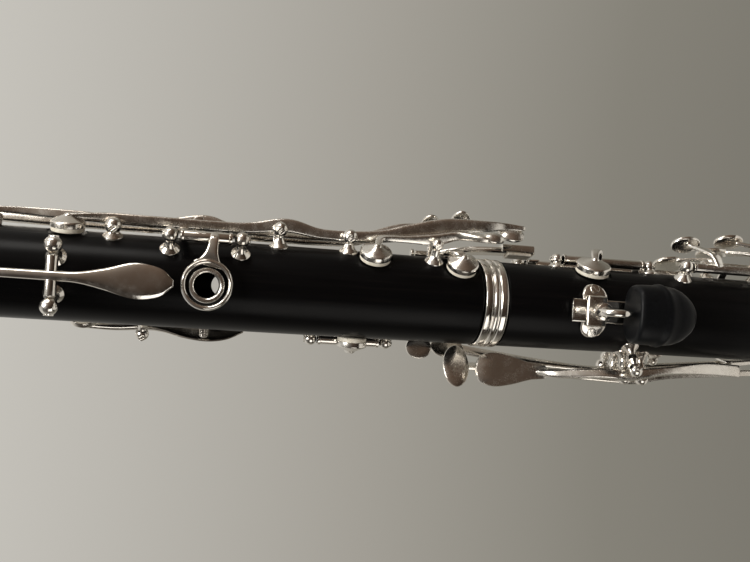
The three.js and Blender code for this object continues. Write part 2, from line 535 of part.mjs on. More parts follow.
// An arm that passes over its neighbours' tubes and round the front to a left lever's end.
function linkArm(a0, z, a1) {
  const over = a0 < 100
    ? [P(a0 + 8, 21.6, z), P(93, 22.2, z), P(112, 21.6, z), P(124, 18, z)]
    : [P(114, 18.6, z), P(126, 17, z)];
  const n = Math.round((a1 - 140) / 16);
  const round = Array.from({ length: n + 1 }, (_, i) => P(140 + ((a1 - 140) * i) / n, 15.1, z));
  return bar([P(a0, HINGE_R, z), ...over, ...round], 3, 1.2, null, 1);
}
add("f_sharp_key", SILVER, swing("f_sharp", join(
  tube(F_SHARP_LINE, 190.8, 243.7),
  touch(130, 22.2, 256, 6.2, 4.4),
  bar([P(F_SHARP_LINE, 19.2, 242.5), P(112, 21.3, 245), P(125, 21.9, 254)], [3, 4, 5], [2.4, 1.5, 1.4]),
  cupOf("f_sharp"), armOver(F_SHARP_LINE, 197, "f_sharp"),
  linkArm(F_SHARP_LINE, 237, 278),
)), P(F_SHARP_LINE, HINGE_R, 217));
add("f_sharp_pad", SKIN, swing("f_sharp", padOf("f_sharp")), P(165, SEAT, 197));
add("e_key", SILVER, swing("e", join(
  tube(E_LINE, 132.8, 229.1),
  touch(118, 24, 241.6, 6, 4.6),
  bar([P(E_LINE, 19.4, 226.5), P(96, 22.7, 230), P(112, 23.7, 237)], [3, 4, 5], [2.4, 1.8, 1.4]),
  cupOf("e"), armOver(E_LINE, 138, "e"),
  linkArm(E_LINE, 223, 238),
)), P(E_LINE, HINGE_R, 181));
add("e_pad", SKIN, swing("e", padOf("e")), P(150, SEAT, 138));
add("a_flat_key", SILVER, join(
  tube(F_LINE, 219.9, 259.7),
  touch(98, 25.4, 256.4, 5.4, 4, 130),
  bar([P(F_LINE, 19.4, 250), P(76, 22.4, 251), P(97, 25.2, 254.5)], [3, 4, 5], [2.4, 1.8, 1.4]),
  cupOf("a_flat"),
  bar([P(F_LINE, HINGE_R + 0.2, 226), P(56, 20.6, 226), apex("a_flat")], [3.2, 3, 2.4], [2.6, 1.7, 1.5]),
), P(F_LINE, HINGE_R, 240));
add("a_flat_pad", SKIN, padOf("a_flat"), P(HOLES.a_flat[0], SEAT, 225));
add("f_key", SILVER, swing("f", join(
  tube(F_LINE, 162.3, 215.3),
  touch(95, 26, 241.4, 5.4, 4, 130),
  linkArm(F_LINE, 210, 257),
  bar([P(F_LINE, 19.4, 212), P(72, 22.8, 217), P(82, 24.8, 229), P(94, 25.9, 238.5)],
    [3, 3.6, 3.6, 5], [2.4, 1.8, 1.8, 1.4]),
  cupOf("f"),
  bar([P(F_LINE, HINGE_R + 0.4, 168), P(76, 21.4, 168), P(94, 21.4, 168), P(124, 20.6, 168), apex("f")],
    [3.2, 3, 3, 3, 2.4], [2.6, 1.5, 1.5, 1.6, 1.5]),
)), P(F_LINE, HINGE_R, 189));
add("f_pad", SKIN, swing("f", padOf("f")), P(150, SEAT, 168));

// The left little finger's three levers, which rock on screws between tall posts.
for (const [name, k] of Object.entries(LEVERS)) {
  const lever = bar([k.at, k.bend, P(k.a, LEVER_R, k.z + 10), P(k.a, LEVER_R, k.z),
    P(k.a, 20.6, k.z - 14), P(k.a - 6, 18.4, k.end + 14), P(k.a - 14, 18.2, k.end)],
    [4, 3.6, 2.4, 2.6, 2.6, 3, 4], [1.4, 1.6, 2.4, 3, 2.2, 1.6, 1.2]);
  const leaf = plate(k.at, [0, 0, 1], k.across, oval(...k.half), 1.4, 10);
  add(`${name}_lever`, SILVER, join(lever, crossTube(k.a, LEVER_R, k.z, 1.2), leaf), P(k.a, LEVER_R, k.z));
}

// ---------------------------------------------------------------- the thumb rest
const REST_Z = 298;
const restPlate = plate([0, -14.4, REST_Z], [1, 0, 0], [0, 0, 1], oval(8, 5), 2.4, 6);
const restGuide = box([-5, -18, REST_Z - 4], [5, -14, REST_Z + 4]);
add("thumb_rest_plate", SILVER, join(restPlate, restGuide)
  .subtract(lathe([[0, 280], [BODY_R + GAP, 280], [BODY_R + GAP, 320], [0, 320]], 48))
  .subtract(box([-3.95, -16.9, 290], [3.95, -15, 310]))
  .subtract(rod([0, -19, REST_Z - 1.7], [0, -16, REST_Z - 1.7], 1.9)), [0, -BODY_R, REST_Z]);
const hook = join(box([-3.65, -16.6, 281.5], [3.65, -15.3, 306.2]),
  box([-7.5, -28, 281.5], [7.5, -15.3, 284]));
add("thumb_rest_hook", SILVER, hook, [0, -15.9, 290]);
const cushionD = [[-9.75, -18], [-9.75, -24], [-7, -28.6], [0, -31], [7, -28.6], [9.75, -24], [9.75, -18]];
const cushionShape = new THREE.Shape(cushionD.map(([x, y]) => new THREE.Vector2(x, y)));
const cushionBlock = new THREE.ExtrudeGeometry(cushionShape, { depth: 19, bevelEnabled: false })
  .translate(0, 0, 270);
add("thumb_rest_cushion", RUBBER, solid(cushionBlock)
  .subtract(box([-7.8, -28.3, 281.2], [7.8, -17, 284.3]))
  .subtract(rod([-12, -18, 269], [12, -18, 269], 9.4, 20)), [0, -24, 280]);
const screwAt = (y) => [0, y, REST_Z - 1.7];
add("thumb_rest_screw", SILVER, join(
  rod(screwAt(-17), screwAt(-20), 1.6),
  rod(screwAt(-18.3), screwAt(-19.4), 2.7),
  turned([0, -25.2, REST_Z - 1.7], [1, 0, 0],
    [[4.1, -0.8], [5.7, -0.8], [5.7, 0.8], [4.1, 0.8], [4.1, -0.8]], 18),
), screwAt(-18));

// ---------------------------------------------------------------- the bell
const bellOutside = [[39, 0], [39, 4.8], [36.4, 10], [30.6, 21], [25.4, 37], [21, 58], [18.2, 78],
  [16.5, 96.5], [15.3, 96.5], [15.3, BELL_TOP - GAP]];
const bellInside = [[36.6, 0], [33, 8], [26, 22], [20.6, 38], [16, 58], [12.6, 76], [10, BELL_TOP - TENON],
  [11.9, BELL_TOP - TENON], [11.9, BELL_TOP - GAP]];
add("bell", WOOD, shell(bellOutside, bellInside, 32));
add("bell_rim_ring", SILVER, shell([[BELL_R, 1], [BELL_R + 0.4, 1.8], [BELL_R + 0.4, 3.6], [BELL_R, 4.4]],
  [[BELL_R - 0.2, 1], [BELL_R - 0.2, 4.4]], 32));
add("bell_socket_ring", SILVER, shell([[16.4, 96.9], [16.7, 98], [16.7, 103.4], [16.4, 104.6]],
  [[15.6, 96.9], [15.6, 104.6]], 20));

// ---------------------------------------------------------------- the barrel
add("barrel", WOOD, shell(
  [[15.1, UPPER_TOP + GAP], [15.1, 536], [16.8, 536], [17.5, 552], [17.3, 566], [16.3, 585], [14.9, 585],
    [14.9, BARREL_TOP - GAP]],
  [[12.1, UPPER_TOP + GAP], [12.1, UPPER_TOP + TENON + 1], [BORE_R, UPPER_TOP + TENON + 1],
    [BORE_R, BARREL_TOP - TENON], [12, BARREL_TOP - TENON], [12, BARREL_TOP - GAP]], 22));
add("barrel_lower_ring", SILVER, shell([[16.1, 528.5], [16.6, 529.6], [16.6, 534.6], [16.4, 535.6]],
  [[15.4, 528.5], [15.4, 535.6]], 20));
add("barrel_upper_ring", SILVER, shell([[16.1, 585.4], [16.3, 586.4], [16.3, 591.4], [15.9, 592.4]],
  [[15.2, 585.4], [15.2, 592.4]], 20));

// ---------------------------------------------------------------- the mouthpiece
const MP_LOW = BARREL_TOP - TENON + 1;
const beak = (points, x) => {
  const g = new THREE.ExtrudeGeometry(new THREE.Shape(points.map(([y, z]) => new THREE.Vector2(y, z))),
    { depth: 2 * x, bevelEnabled: false });
  const m = new THREE.Matrix4().makeBasis(V([0, 1, 0]), V([0, 0, 1]), V([1, 0, 0]));
  return solid(g.translate(0, 0, -x).applyMatrix4(m));
};
const TABLE = 9.2; // the flat the reed lies on, from the bore's axis
let mouthpiece = lathe([[0, MP_LOW], [11.4, MP_LOW], [11.4, BARREL_TOP], [13.9, BARREL_TOP], [13.9, 597],
  [13.3, 600], [12.9, 640], [12.2, TIP], [0, TIP]], 24);
mouthpiece = mouthpiece
  .subtract(box([-20, -20, 600.5], [20, -TABLE, TIP + 1]))
  .subtract(beak([[13.5, 630], [-7.6, TIP + 0.2], [20, TIP + 5]], 20))
  .subtract(bore(570, 634))
  .subtract(beak([[-14, 632], [-14, 662], [-8.4, 662], [-5, 655], [3, 640], [6, 632]], 5))
  .subtract(corkCut(10.8, MP_LOW + 2, BARREL_TOP - 3));
add("mouthpiece", EBONITE, mouthpiece, [0, 0, BARREL_TOP]);
add("mouthpiece_cork", CORK, shell([[11.7, MP_LOW + 2.3], [11.7, BARREL_TOP - 3.3]],
  [[11.1, MP_LOW + 2.3], [11.1, BARREL_TOP - 3.3]], 16), [0, 0, 585]);
add("reed", CANE, beak([[-9.5, 602], [-11.8, 602], [-11.8, 631], [-9.8, 666.4], [-9.5, 666.4]], 6),
  [0, -9.5, 602]);
const SCREW_Y = -16.8;
const SCREWS = { lower: 612, upper: 624 };
let ligature = shell([[14.3, 607], [14.3, 629]], [[13.6, 607], [13.6, 629]], 24);
for (const z of Object.values(SCREWS)) {
  ligature = join(ligature, box([1.4, -18.6, z - 2.4], [3.2, -13.4, z + 2.4]),
    box([-3.2, -18.6, z - 2.4], [-1.4, -13.4, z + 2.4]));
}
ligature = ligature.subtract(box([-1.4, -20, 600], [1.4, -12.5, 640]))
  .subtract(lathe([[0, 600], [13.6, 600], [13.6, 640], [0, 640]], 24));
for (const z of Object.values(SCREWS)) {
  ligature = ligature.subtract(rod([-9, SCREW_Y, z], [9, SCREW_Y, z], 1.5, 12));
}
add("ligature", SILVER, ligature, [0, 0, 618]);
const screwProfile = [[0, -4.4], [2, -4.4], [2, -3.5], [1.15, -3.5], [1.15, 3.5], [2.2, 3.5],
  [3.3, 5], [3.3, 9], [0, 9]];
for (const [name, z] of Object.entries(SCREWS)) {
  const screw = turned([0, SCREW_Y, z], [1, 0, 0], screwProfile, 12);
  add(`ligature_screw_${name}`, SILVER, screw, [0, SCREW_Y, z]);
}

export default clarinet;
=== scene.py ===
"""Looks for a B flat soprano clarinet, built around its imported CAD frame. Lengths are millimetres.

+Z runs up the bore from the bell's rim. The thumb side faces -Y and the player's right side is +X.
Azimuth 0 is the thumb side, 90 the player's right, 180 the front and 270 the left.
"""
import math

import bmesh
import bpy
from mathutils import Matrix, Vector


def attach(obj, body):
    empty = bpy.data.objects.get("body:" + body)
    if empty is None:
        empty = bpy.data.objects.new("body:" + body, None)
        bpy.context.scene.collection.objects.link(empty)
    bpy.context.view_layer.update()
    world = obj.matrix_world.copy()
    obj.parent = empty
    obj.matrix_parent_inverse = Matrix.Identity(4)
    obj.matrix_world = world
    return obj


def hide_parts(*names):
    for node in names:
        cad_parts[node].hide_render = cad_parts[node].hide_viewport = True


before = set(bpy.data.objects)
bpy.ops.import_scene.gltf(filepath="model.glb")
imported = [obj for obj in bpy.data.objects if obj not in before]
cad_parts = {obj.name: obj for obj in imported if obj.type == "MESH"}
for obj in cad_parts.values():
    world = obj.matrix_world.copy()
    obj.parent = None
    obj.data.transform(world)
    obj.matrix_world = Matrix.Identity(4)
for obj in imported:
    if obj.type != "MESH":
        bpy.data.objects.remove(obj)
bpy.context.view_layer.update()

MM = 0.001
BELL_TOP, MIDDLE, UPPER_TOP, BARREL_TOP, TIP = 105, 335, 528, 593, 667
BODY_R, BORE_R, TENON = 13.9, 7.35, 17
SEAT, PAD, CHIMNEY, RING_DOWN = 13.3, 1.5, 15.8, 14.7
HINGE_R, TUBE_R, BALL_R, GAP = 18.5, 1.65, 2.3, 0.3
UPPER_LINE, LOWER_LINE, E_LINE, F_LINE, F_SHARP_LINE, CROSS_LINE = 142, 130, 84, 66, 102, 98
REGISTER_SEAT = 15.6
SHARP = 38  # faces that meet at more degrees than this keep a crisp edge

# Tone holes: azimuth, z, hole radius, pad radius.
HOLES = {
    "register": (0, 510, 2.5, 4.0), "throat_a": (180, 474, 2.6, 4.3), "g_sharp": (234, 458, 2.6, 4.3),
    "first": (180, 431, 2.7, 4.2), "bridge": (180, 402.5, 2.7, 4.2), "cross": (265, 374, 3.0, 4.8),
    "c_sharp": (50, 342, 3.0, 5.0), "side_1": (58, 370, 3.0, 5.0), "side_2": (76, 463, 3.0, 5.0),
    "side_3": (94, 487, 2.8, 4.8), "side_4": (118, 503, 2.8, 4.8), "lower": (218, 296, 3.2, 5.0),
    "lower_cross": (66, 295.5, 3.6, 5.7), "a_flat": (42, 225, 4.5, 6.8), "f_sharp": (165, 197, 5.0, 7.6),
    "f": (150, 168, 5.4, 8.2), "e": (150, 138, 5.4, 8.2),
}
# Finger holes: azimuth, z, hole radius, chimney radius, ring inside, ring outside.
FINGERS = {
    "thumb": (0, 421.6, 3.75, 5.2, 6.15, 7.65), "left_1": (180, 416, 3.6, 5.3, 6.1, 7.4),
    "left_2": (180, 389, 3.8, 5.3, 6.1, 7.4), "left_3": (180, 360, 3.7, 5.4, 0, 0),
    "right_1": (180, 307, 4.0, 5.4, 6.2, 7.6), "right_2": (180, 285, 4.2, 5.6, 6.4, 7.8),
    "right_3": (180, 259, 4.8, 6.2, 7.0, 8.4),
}
UPPER_HOLES = ("throat_a", "g_sharp", "first", "bridge", "cross", "c_sharp",
               "side_1", "side_2", "side_3", "side_4")
LOWER_HOLES = ("lower", "lower_cross", "a_flat", "f_sharp", "f", "e")
# Keys that stand open: hinge azimuth, hinge radius, degrees they swing from pressed to rest.
STAND_OPEN = {
    "thumb": (47, 19.5, 5.2), "first": (UPPER_LINE, HINGE_R, -7.5), "bridge": (UPPER_LINE, HINGE_R, -7.5),
    "lower": (LOWER_LINE, HINGE_R, -5), "f_sharp": (F_SHARP_LINE, HINGE_R, -7.6),
    "f": (F_LINE, HINGE_R, -7.9), "e": (E_LINE, HINGE_R, -8.5),
}


def radial(a):
    return Vector((math.sin(math.radians(a)), -math.cos(math.radians(a)), 0))


def tangent(a):
    return Vector((math.cos(math.radians(a)), math.sin(math.radians(a)), 0))


def P(a, r, z):
    """A point at azimuth a, r from the bore's axis and z above the bell's rim."""
    return radial(a) * r + Vector((0, 0, z))


def circle(n):
    """The angles of n points spread evenly round a circle."""
    return [2 * math.pi * k / n for k in range(n)]


# ---------------------------------------------------------------- materials
def node_material(name):
    material = bpy.data.materials.new(name)
    material.use_nodes = True
    tree = material.node_tree
    shader = tree.nodes["Principled BSDF"]
    place = tree.nodes.new("ShaderNodeTexCoord").outputs["Object"]
    return material, tree, shader, place


def node(tree, kind, sockets, output):
    """Adds a shader node. Each socket takes a constant or is linked to another node's output."""
    made = tree.nodes.new(kind)
    for name, value in sockets.items():
        if isinstance(value, bpy.types.NodeSocket):
            tree.links.new(value, made.inputs[name])
        else:
            made.inputs[name].default_value = value
    return made.outputs[output]


def noise(tree, place, scale, stretch=(1, 1, 1), detail=4.0, rough=0.55):
    place = node(tree, "ShaderNodeMapping", {"Vector": place, "Scale": stretch}, "Vector")
    sockets = {"Vector": place, "Scale": scale, "Detail": detail, "Roughness": rough}
    return node(tree, "ShaderNodeTexNoise", sockets, "Fac")


def ramp(tree, source, stops):
    made = tree.nodes.new("ShaderNodeValToRGB")
    elements = made.color_ramp.elements
    while len(elements) < len(stops):
        elements.new(0.5)
    for element, (position, colour) in zip(elements, stops):
        element.position = position
        element.color = (*colour, 1)
    tree.links.new(source, made.inputs["Fac"])
    return made.outputs["Color"]


def span(tree, source, low, high, start=0.0, end=1.0):
    sockets = {"Value": source, "From Min": start, "From Max": end, "To Min": low, "To Max": high}
    return node(tree, "ShaderNodeMapRange", sockets, "Result")


def bump(tree, shader, height, strength, distance):
    sockets = {"Height": height, "Strength": strength, "Distance": distance}
    tree.links.new(node(tree, "ShaderNodeBump", sockets, "Normal"), shader.inputs["Normal"])


def grenadilla():
    """Near-black wood with fine pores and streaks along the bore, oiled to a satin finish."""
    material, tree, shader, place = node_material("grenadilla")
    streaks = noise(tree, place, 900, (1, 1, 0.035), 6, 0.6)
    patches = noise(tree, place, 60, (1, 1, 0.3), 3)
    colour = ramp(tree, streaks, ((0.3, (0.0012, 0.0012, 0.0014)), (0.62, (0.0024, 0.0022, 0.0023)),
                                  (0.8, (0.006, 0.0045, 0.0038))))
    tree.links.new(colour, shader.inputs["Base Color"])
    tree.links.new(span(tree, patches, 0.26, 0.38, 0.3, 0.7), shader.inputs["Roughness"])
    shader.inputs["Specular IOR Level"].default_value = 0.1
    bump(tree, shader, streaks, 0.18, 0.00004)
    return material


def silver(name, tarnish=0.5, rough=0.17):
    """Silver plate with hazy fingermarks, fine scratches and warm tarnish in patches."""
    material, tree, shader, place = node_material(name)
    shader.inputs["Metallic"].default_value = 1.0
    patches = noise(tree, place, 70, (1, 1, 0.4), 3, 0.5)
    edge = 0.66 - 0.14 * tarnish
    colour = ramp(tree, patches, ((0.3, (0.79, 0.765, 0.72)), (edge, (0.72, 0.68, 0.62)),
                                  (min(edge + 0.3, 0.98), (0.56, 0.48, 0.41))))
    tree.links.new(colour, shader.inputs["Base Color"])
    marks = noise(tree, place, 320, (1, 1, 1), 6, 0.7)
    tree.links.new(span(tree, marks, rough - 0.07, rough + 0.12, 0.32, 0.68), shader.inputs["Roughness"])
    scratches = noise(tree, place, 2600, (1, 1, 0.06), 2, 0.5)
    bump(tree, shader, scratches, 0.03, 0.00001)
    return material


def plain(name, dark, light, scale, rough=(0.5, 0.7), stretch=(1, 1, 1), height=0.00004, strength=0.3,
          detail=5):
    """A non-metal whose colour, roughness and surface all follow one noise."""
    material, tree, shader, place = node_material(name)
    grain = noise(tree, place, scale, stretch, detail, 0.62)
    tree.links.new(ramp(tree, grain, ((0.32, dark), (0.68, light))), shader.inputs["Base Color"])
    tree.links.new(span(tree, grain, rough[0], rough[1], 0.3, 0.7), shader.inputs["Roughness"])
    bump(tree, shader, grain, strength, height)
    return material


MATERIALS = {
    "wood": grenadilla(),
    "silver": silver("silver_plate"),
    "worn": silver("silver_plate_worn", 0.6, 0.22),
    "bright": silver("silver_plate_bright", 0.15, 0.13),
    "skin": plain("pad_skin", (0.72, 0.66, 0.54), (0.86, 0.82, 0.72), 500, (0.42, 0.6)),
    "cork": plain("natural_cork", (0.3, 0.18, 0.09), (0.62, 0.43, 0.25), 900, (0.8, 0.95), height=0.0001),
    "pale_cork": plain("pale_cork", (0.55, 0.49, 0.4), (0.8, 0.75, 0.66), 900, (0.8, 0.95), height=0.0001),
    "rubber": plain("dark_rubber", (0.0014, 0.0017, 0.0022), (0.003, 0.0036, 0.0045), 1400, (0.36, 0.48),
                    height=0.00004),
    "ebonite": plain("hard_rubber", (0.004, 0.004, 0.004), (0.007, 0.007, 0.007), 300, (0.1, 0.2),
                     strength=0.04),
    "cane": plain("cane", (0.5, 0.36, 0.13), (0.72, 0.58, 0.28), 1500, (0.45, 0.6), (1, 1, 0.02)),
    "steel": plain("blued_steel", (0.02, 0.025, 0.05), (0.06, 0.07, 0.11), 600, (0.2, 0.35)),
}
MATERIALS["steel"].node_tree.nodes["Principled BSDF"].inputs["Metallic"].default_value = 1.0
MATERIALS["rubber"].node_tree.nodes["Principled BSDF"].inputs["Specular IOR Level"].default_value = 0.16


# ---------------------------------------------------------------- solids
class Solid:
    """Vertices in millimetres and faces, before they become a piece."""

    def __init__(self, points=(), faces=()):
        self.points = [Vector(p) for p in points]
        self.faces = [tuple(f) for f in faces]

    def __add__(self, other):
        n = len(self.points)
        return Solid(self.points + other.points, self.faces + [tuple(i + n for i in f) for f in other.faces])

    def moved(self, matrix):
        return Solid([matrix @ p for p in self.points], self.faces)


def swing(name, solid):
    """Turns a pressed key about its hinge line to where its spring holds it."""
    a, r, degrees = STAND_OPEN[name]
    hinge = Matrix.Translation(P(a, r, 0))
    return solid.moved(hinge @ Matrix.Rotation(math.radians(degrees), 4, "Z") @ hinge.inverted())


def fillet(profile, radius=0.25, steps=3):
    """Rounds a profile's inner corners, except where it touches the axis."""
    points = [Vector(p) for p in profile]
    out = [points[0]]
    for before, here, after in zip(points, points[1:], points[2:]):
        to_before, to_after = before - here, after - here
        cut = min(radius, to_before.length * 0.45, to_after.length * 0.45)
        if here.x < 1e-6 or cut < 1e-3:
            out.append(here)
            continue
        start, end = here + to_before.normalized() * cut, here + to_after.normalized() * cut
        for i in range(steps + 1):
            t = i / steps
            out.append(start * (1 - t) ** 2 + here * 2 * t * (1 - t) + end * t * t)
    out.append(points[-1])
    return out


def turned(origin, direction, profile, sides=40, rounding=0.25):
    """A lathed solid from points of radius and height. A closed profile ends where it starts."""
    closed = (Vector(profile[0]) - Vector(profile[-1])).length < 1e-6
    loop = fillet(profile, rounding) if rounding else [Vector(p) for p in profile]
    if closed:
        loop = loop[:-1]
    turn = Vector((0, 0, 1)).rotation_difference(Vector(direction)).to_matrix()
    points, rings = [], []
    for x, h in ((p.x, p.y) for p in loop):
        if x < 1e-6:
            rings.append([len(points)])
            points.append(Vector((0, 0, h)))
        else:
            rings.append(list(range(len(points), len(points) + sides)))
            points.extend(Vector((x * math.cos(t), x * math.sin(t), h)) for t in circle(sides))
    faces = []
    pairs = list(zip(rings, rings[1:])) + ([(rings[-1], rings[0])] if closed else [])
    for low, high in pairs:
        for k in range(sides):
            j = (k + 1) % sides
            face = [low[k % len(low)], low[j % len(low)], high[j % len(high)], high[k % len(high)]]
            face = list(dict.fromkeys(face))
            if len(face) > 2:
                faces.append(face)
    return Solid([turn @ p + Vector(origin) for p in points], faces)


def lathe(profile, sides=128, rounding=0.25):
    return turned((0, 0, 0), (0, 0, 1), profile, sides, rounding)


def shell(outer, inner, sides=128, rounding=0.25):
    """A tube about the bore's axis, from outer and inner profiles that both run from low to high."""
    return lathe([*outer, *reversed(inner), outer[0]], sides, rounding)


def rod(p, q, r, sides=28, rounding=0.2):
    length = (Vector(q) - Vector(p)).length
    return turned(p, Vector(q) - Vector(p), [(0, 0), (r, 0), (r, length), (0, length)], sides, rounding)


def catmull(a, b, c, d, t):
    """The value between b and c on a smooth curve through all four, t from 0 to 1."""
    bend = (a * 2 - b * 5 + c * 4 - d) * t * t + (b * 3 - a - c * 3 + d) * t ** 3
    return (b * 2 + (c - a) * t + bend) * 0.5


def spline(values, t):
    """Catmull-Rom through a list of numbers or vectors, t from 0 to 1."""
    s = t * (len(values) - 1)
    i = min(int(s), len(values) - 2)
    b, c = values[i], values[i + 1]
    a = values[i - 1] if i else b * 2 - c
    d = values[i + 2] if i + 2 < len(values) else c * 2 - b
    return catmull(a, b, c, d, s - i)


def hoops(rows, sides):
    """The faces between rows of points that each go once round."""
    return [(i * sides + k, i * sides + (k + 1) % sides, (i + 1) * sides + (k + 1) % sides,
             (i + 1) * sides + k)
            for i in range(rows - 1) for k in range(sides)]


SECTION = 20  # points round a bar


def section(crown, k):
    """A point on a bar's section, in half widths and heights. Crown 0 is a rounded box, 1 an oval."""
    t = 2 * math.pi * (k + 0.5) / SECTION
    power = 0.34 + 0.66 * crown
    x, y = math.cos(t), math.sin(t)
    return math.copysign(abs(x) ** power, x), math.copysign(abs(y) ** power, y)


def bar(points, width, thick, up=None, steps=10, crown=0.25, ends=(0.7, 0.7)):
    """A smooth bar along a curve, with rounded ends. Its wide side faces away from the bore, or along up."""
    n = (len(points) - 1) * steps
    spread = lambda v: [float(v)] * len(points) if isinstance(v, (int, float)) else [float(x) for x in v]
    widths, thicks = spread(width), spread(thick)
    path = [spline([Vector(p) for p in points], i / n) for i in range(n + 1)]
    rows = []
    for i, centre in enumerate(path):
        along = (path[min(i + 1, n)] - path[max(i - 1, 0)]).normalized()
        out = Vector(up) if up else Vector((centre.x, centre.y, 0))
        out = (out - along * out.dot(along)).normalized()
        w, h = spline(widths, i / n) / 2, spline(thicks, i / n) / 2
        rows.append((centre, along, out, max(w, 0.2), max(h, 0.2)))
    caps = [(math.sin(a), math.cos(a)) for a in (math.pi / 2, math.pi * 0.36, math.pi * 0.2)]
    tips = []
    for (centre, along, out, w, h), sign, reach in ((rows[0], -1, ends[0]), (rows[-1], 1, ends[1])):
        length = min(w, h) * reach
        tips.append([(centre + along * sign * length * s, along, out, max(w - h * (1 - c), w * c), h * c)
                     for s, c in caps])
    rows = [*tips[0], *rows, *reversed(tips[1])]
    points_out = []
    for centre, along, out, w, h in rows:
        side = along.cross(out)
        for k in range(SECTION):
            x, y = section(crown, k)
            points_out.append(centre + side * (w * x) + out * (h * y))
    last = (len(rows) - 1) * SECTION
    ends_faces = [tuple(reversed(range(SECTION))), tuple(range(last, last + SECTION))]
    return Solid(points_out, hoops(len(rows), SECTION) + ends_faces)


def pebble(origin, u, v, outline, thick, dome=0.5, samples=8):
    """A plate with rounded edges and a crowned face. Its outline is in u and v, its face along u x v."""
    n = len(outline)
    closed = [Vector((x, y)) for x, y in outline]
    ring = []
    for i in range(n):
        a, b, c, d = (closed[(i + k) % n] for k in (-1, 0, 1, 2))
        ring.extend(catmull(a, b, c, d, s / samples) for s in range(samples))
    u, v = Vector(u).normalized(), Vector(v).normalized()
    w = u.cross(v)
    size = max(p.length for p in ring)
    edge = min(0.45 * thick / size, 0.3)
    levels = [(0.5, -thick / 2), (1 - edge, -thick / 2), (1 - edge * 0.3, -thick * 0.36), (1, -thick * 0.1),
              (1, thick * 0.1), (1 - edge * 0.3, thick * 0.36), (1 - edge, thick / 2),
              (0.7, thick / 2 + dome * 0.45), (0.4, thick / 2 + dome * 0.85)]
    m = len(ring)
    points, faces = [], hoops(len(levels), m)
    place = lambda p, h: Vector(origin) + u * p.x + v * p.y + w * h
    for scale, h in levels:
        points.extend(place(p * scale, h) for p in ring)
    low, high = len(points), len(points) + 1
    points += [place(Vector((0, 0)), -thick / 2), place(Vector((0, 0)), thick / 2 + dome)]
    top = (len(levels) - 1) * m
    for k in range(m):
        j = (k + 1) % m
        faces.append((j, k, low))
        faces.append((top + k, top + j, high))
    return Solid(points, faces)


def oval(w, h):
    return [(w, 0), (w * 0.72, h * 0.7), (0, h), (-w * 0.72, h * 0.7),
            (-w, 0), (-w * 0.72, -h * 0.7), (0, -h), (w * 0.72, -h * 0.7)]


def block(low, high, rounding=0.3):
    """A box with its edges rounded, as a bar along its longest side."""
    low, high = Vector(low), Vector(high)
    centre, size = (low + high) / 2, high - low
    axis = max(range(3), key=lambda i: size[i])
    up = (axis + 1) % 3
    side = (axis + 2) % 3
    start, end, out = centre.copy(), centre.copy(), Vector((0, 0, 0))
    start[axis], end[axis], out[up] = low[axis] + rounding * 0.6, high[axis] - rounding * 0.6, 1
    return bar([start, end], size[side], size[up], out, 4, 0.02, (rounding, rounding))


# ---------------------------------------------------------------- pieces
def new_object(name, data):
    made = bpy.data.objects.new(name, data)
    bpy.context.scene.collection.objects.link(made)
    return made


def fill_mesh(mesh, solid, weld):
    """Puts a solid into a mesh, in metres, with its faces turned outwards."""
    mesh.from_pydata([p * MM for p in solid.points], [], solid.faces)
    mesh.update()
    editor = bmesh.new()
    editor.from_mesh(mesh)
    if weld:
        bmesh.ops.remove_doubles(editor, verts=editor.verts, dist=1e-7)
    bmesh.ops.recalc_face_normals(editor, faces=editor.faces)
    editor.to_mesh(mesh)
    editor.free()


def piece(name, solid, body, material, replaces=(), sharp=SHARP, cutters=None):
    """Makes one named piece that rides a body and stands for CAD nodes."""
    mesh = bpy.data.meshes.new(name)
    made = new_object(name, mesh)
    fill_mesh(mesh, solid, True)
    if cutters is not None:
        cut(made, cutters)
        mesh = made.data
    mesh.materials.clear()
    mesh.materials.append(MATERIALS[material])
    mesh.shade_smooth()
    mesh.set_sharp_from_angle(angle=math.radians(sharp))
    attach(made, body)
    if replaces:
        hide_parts(*replaces)
    return made


def cut(made, cutters):
    """Takes closed solids away from a piece, one after another."""
    for i, solid in enumerate(cutters):
        tool = new_object("cutter", bpy.data.meshes.new("cutter"))
        fill_mesh(tool.data, solid, False)
        modifier = made.modifiers.new(f"cut_{i}", "BOOLEAN")
        modifier.operation = "DIFFERENCE"
        modifier.solver = "EXACT"
        modifier.object = tool
        bpy.context.view_layer.update()
        result = bpy.data.meshes.new_from_object(made.evaluated_get(bpy.context.evaluated_depsgraph_get()))
        made.modifiers.clear()
        made.data = result
        bpy.data.objects.remove(tool)


def all_of(*solids):
    total = Solid()
    for s in solids:
        for one in s if isinstance(s, (list, tuple)) else [s]:
            total = total + one
    return total


# ---------------------------------------------------------------- keywork
def post_solid(a, z, r, ball):
    """A turned post: a flared foot on the wood, a waist and a ball through which the hinge screw passes.

    A tall post swells evenly from its waist into its ball, like a pear."""
    foot = BODY_R - 0.6
    h = r - foot
    top = [(ball * math.cos(t), h + ball * math.sin(t)) for t in (-1.05, -0.7, -0.35, 0, 0.35, 0.7, 1.05,
                                                                  1.35)]
    waist = [(1.3, h - ball - 0.1), (1.38, h - ball + 0.35)] if h < 8 else [(1.3, h * 0.42), (1.75, h * 0.6)]
    profile = [(0, 0), (3.0, 0), (3.0, 0.75), (2.6, 1.15), (1.9, 1.9), (1.45, 2.9), *waist, *top,
               (0, h + ball)]
    return turned(P(a, foot, z), radial(a), profile, 28, 0.1)


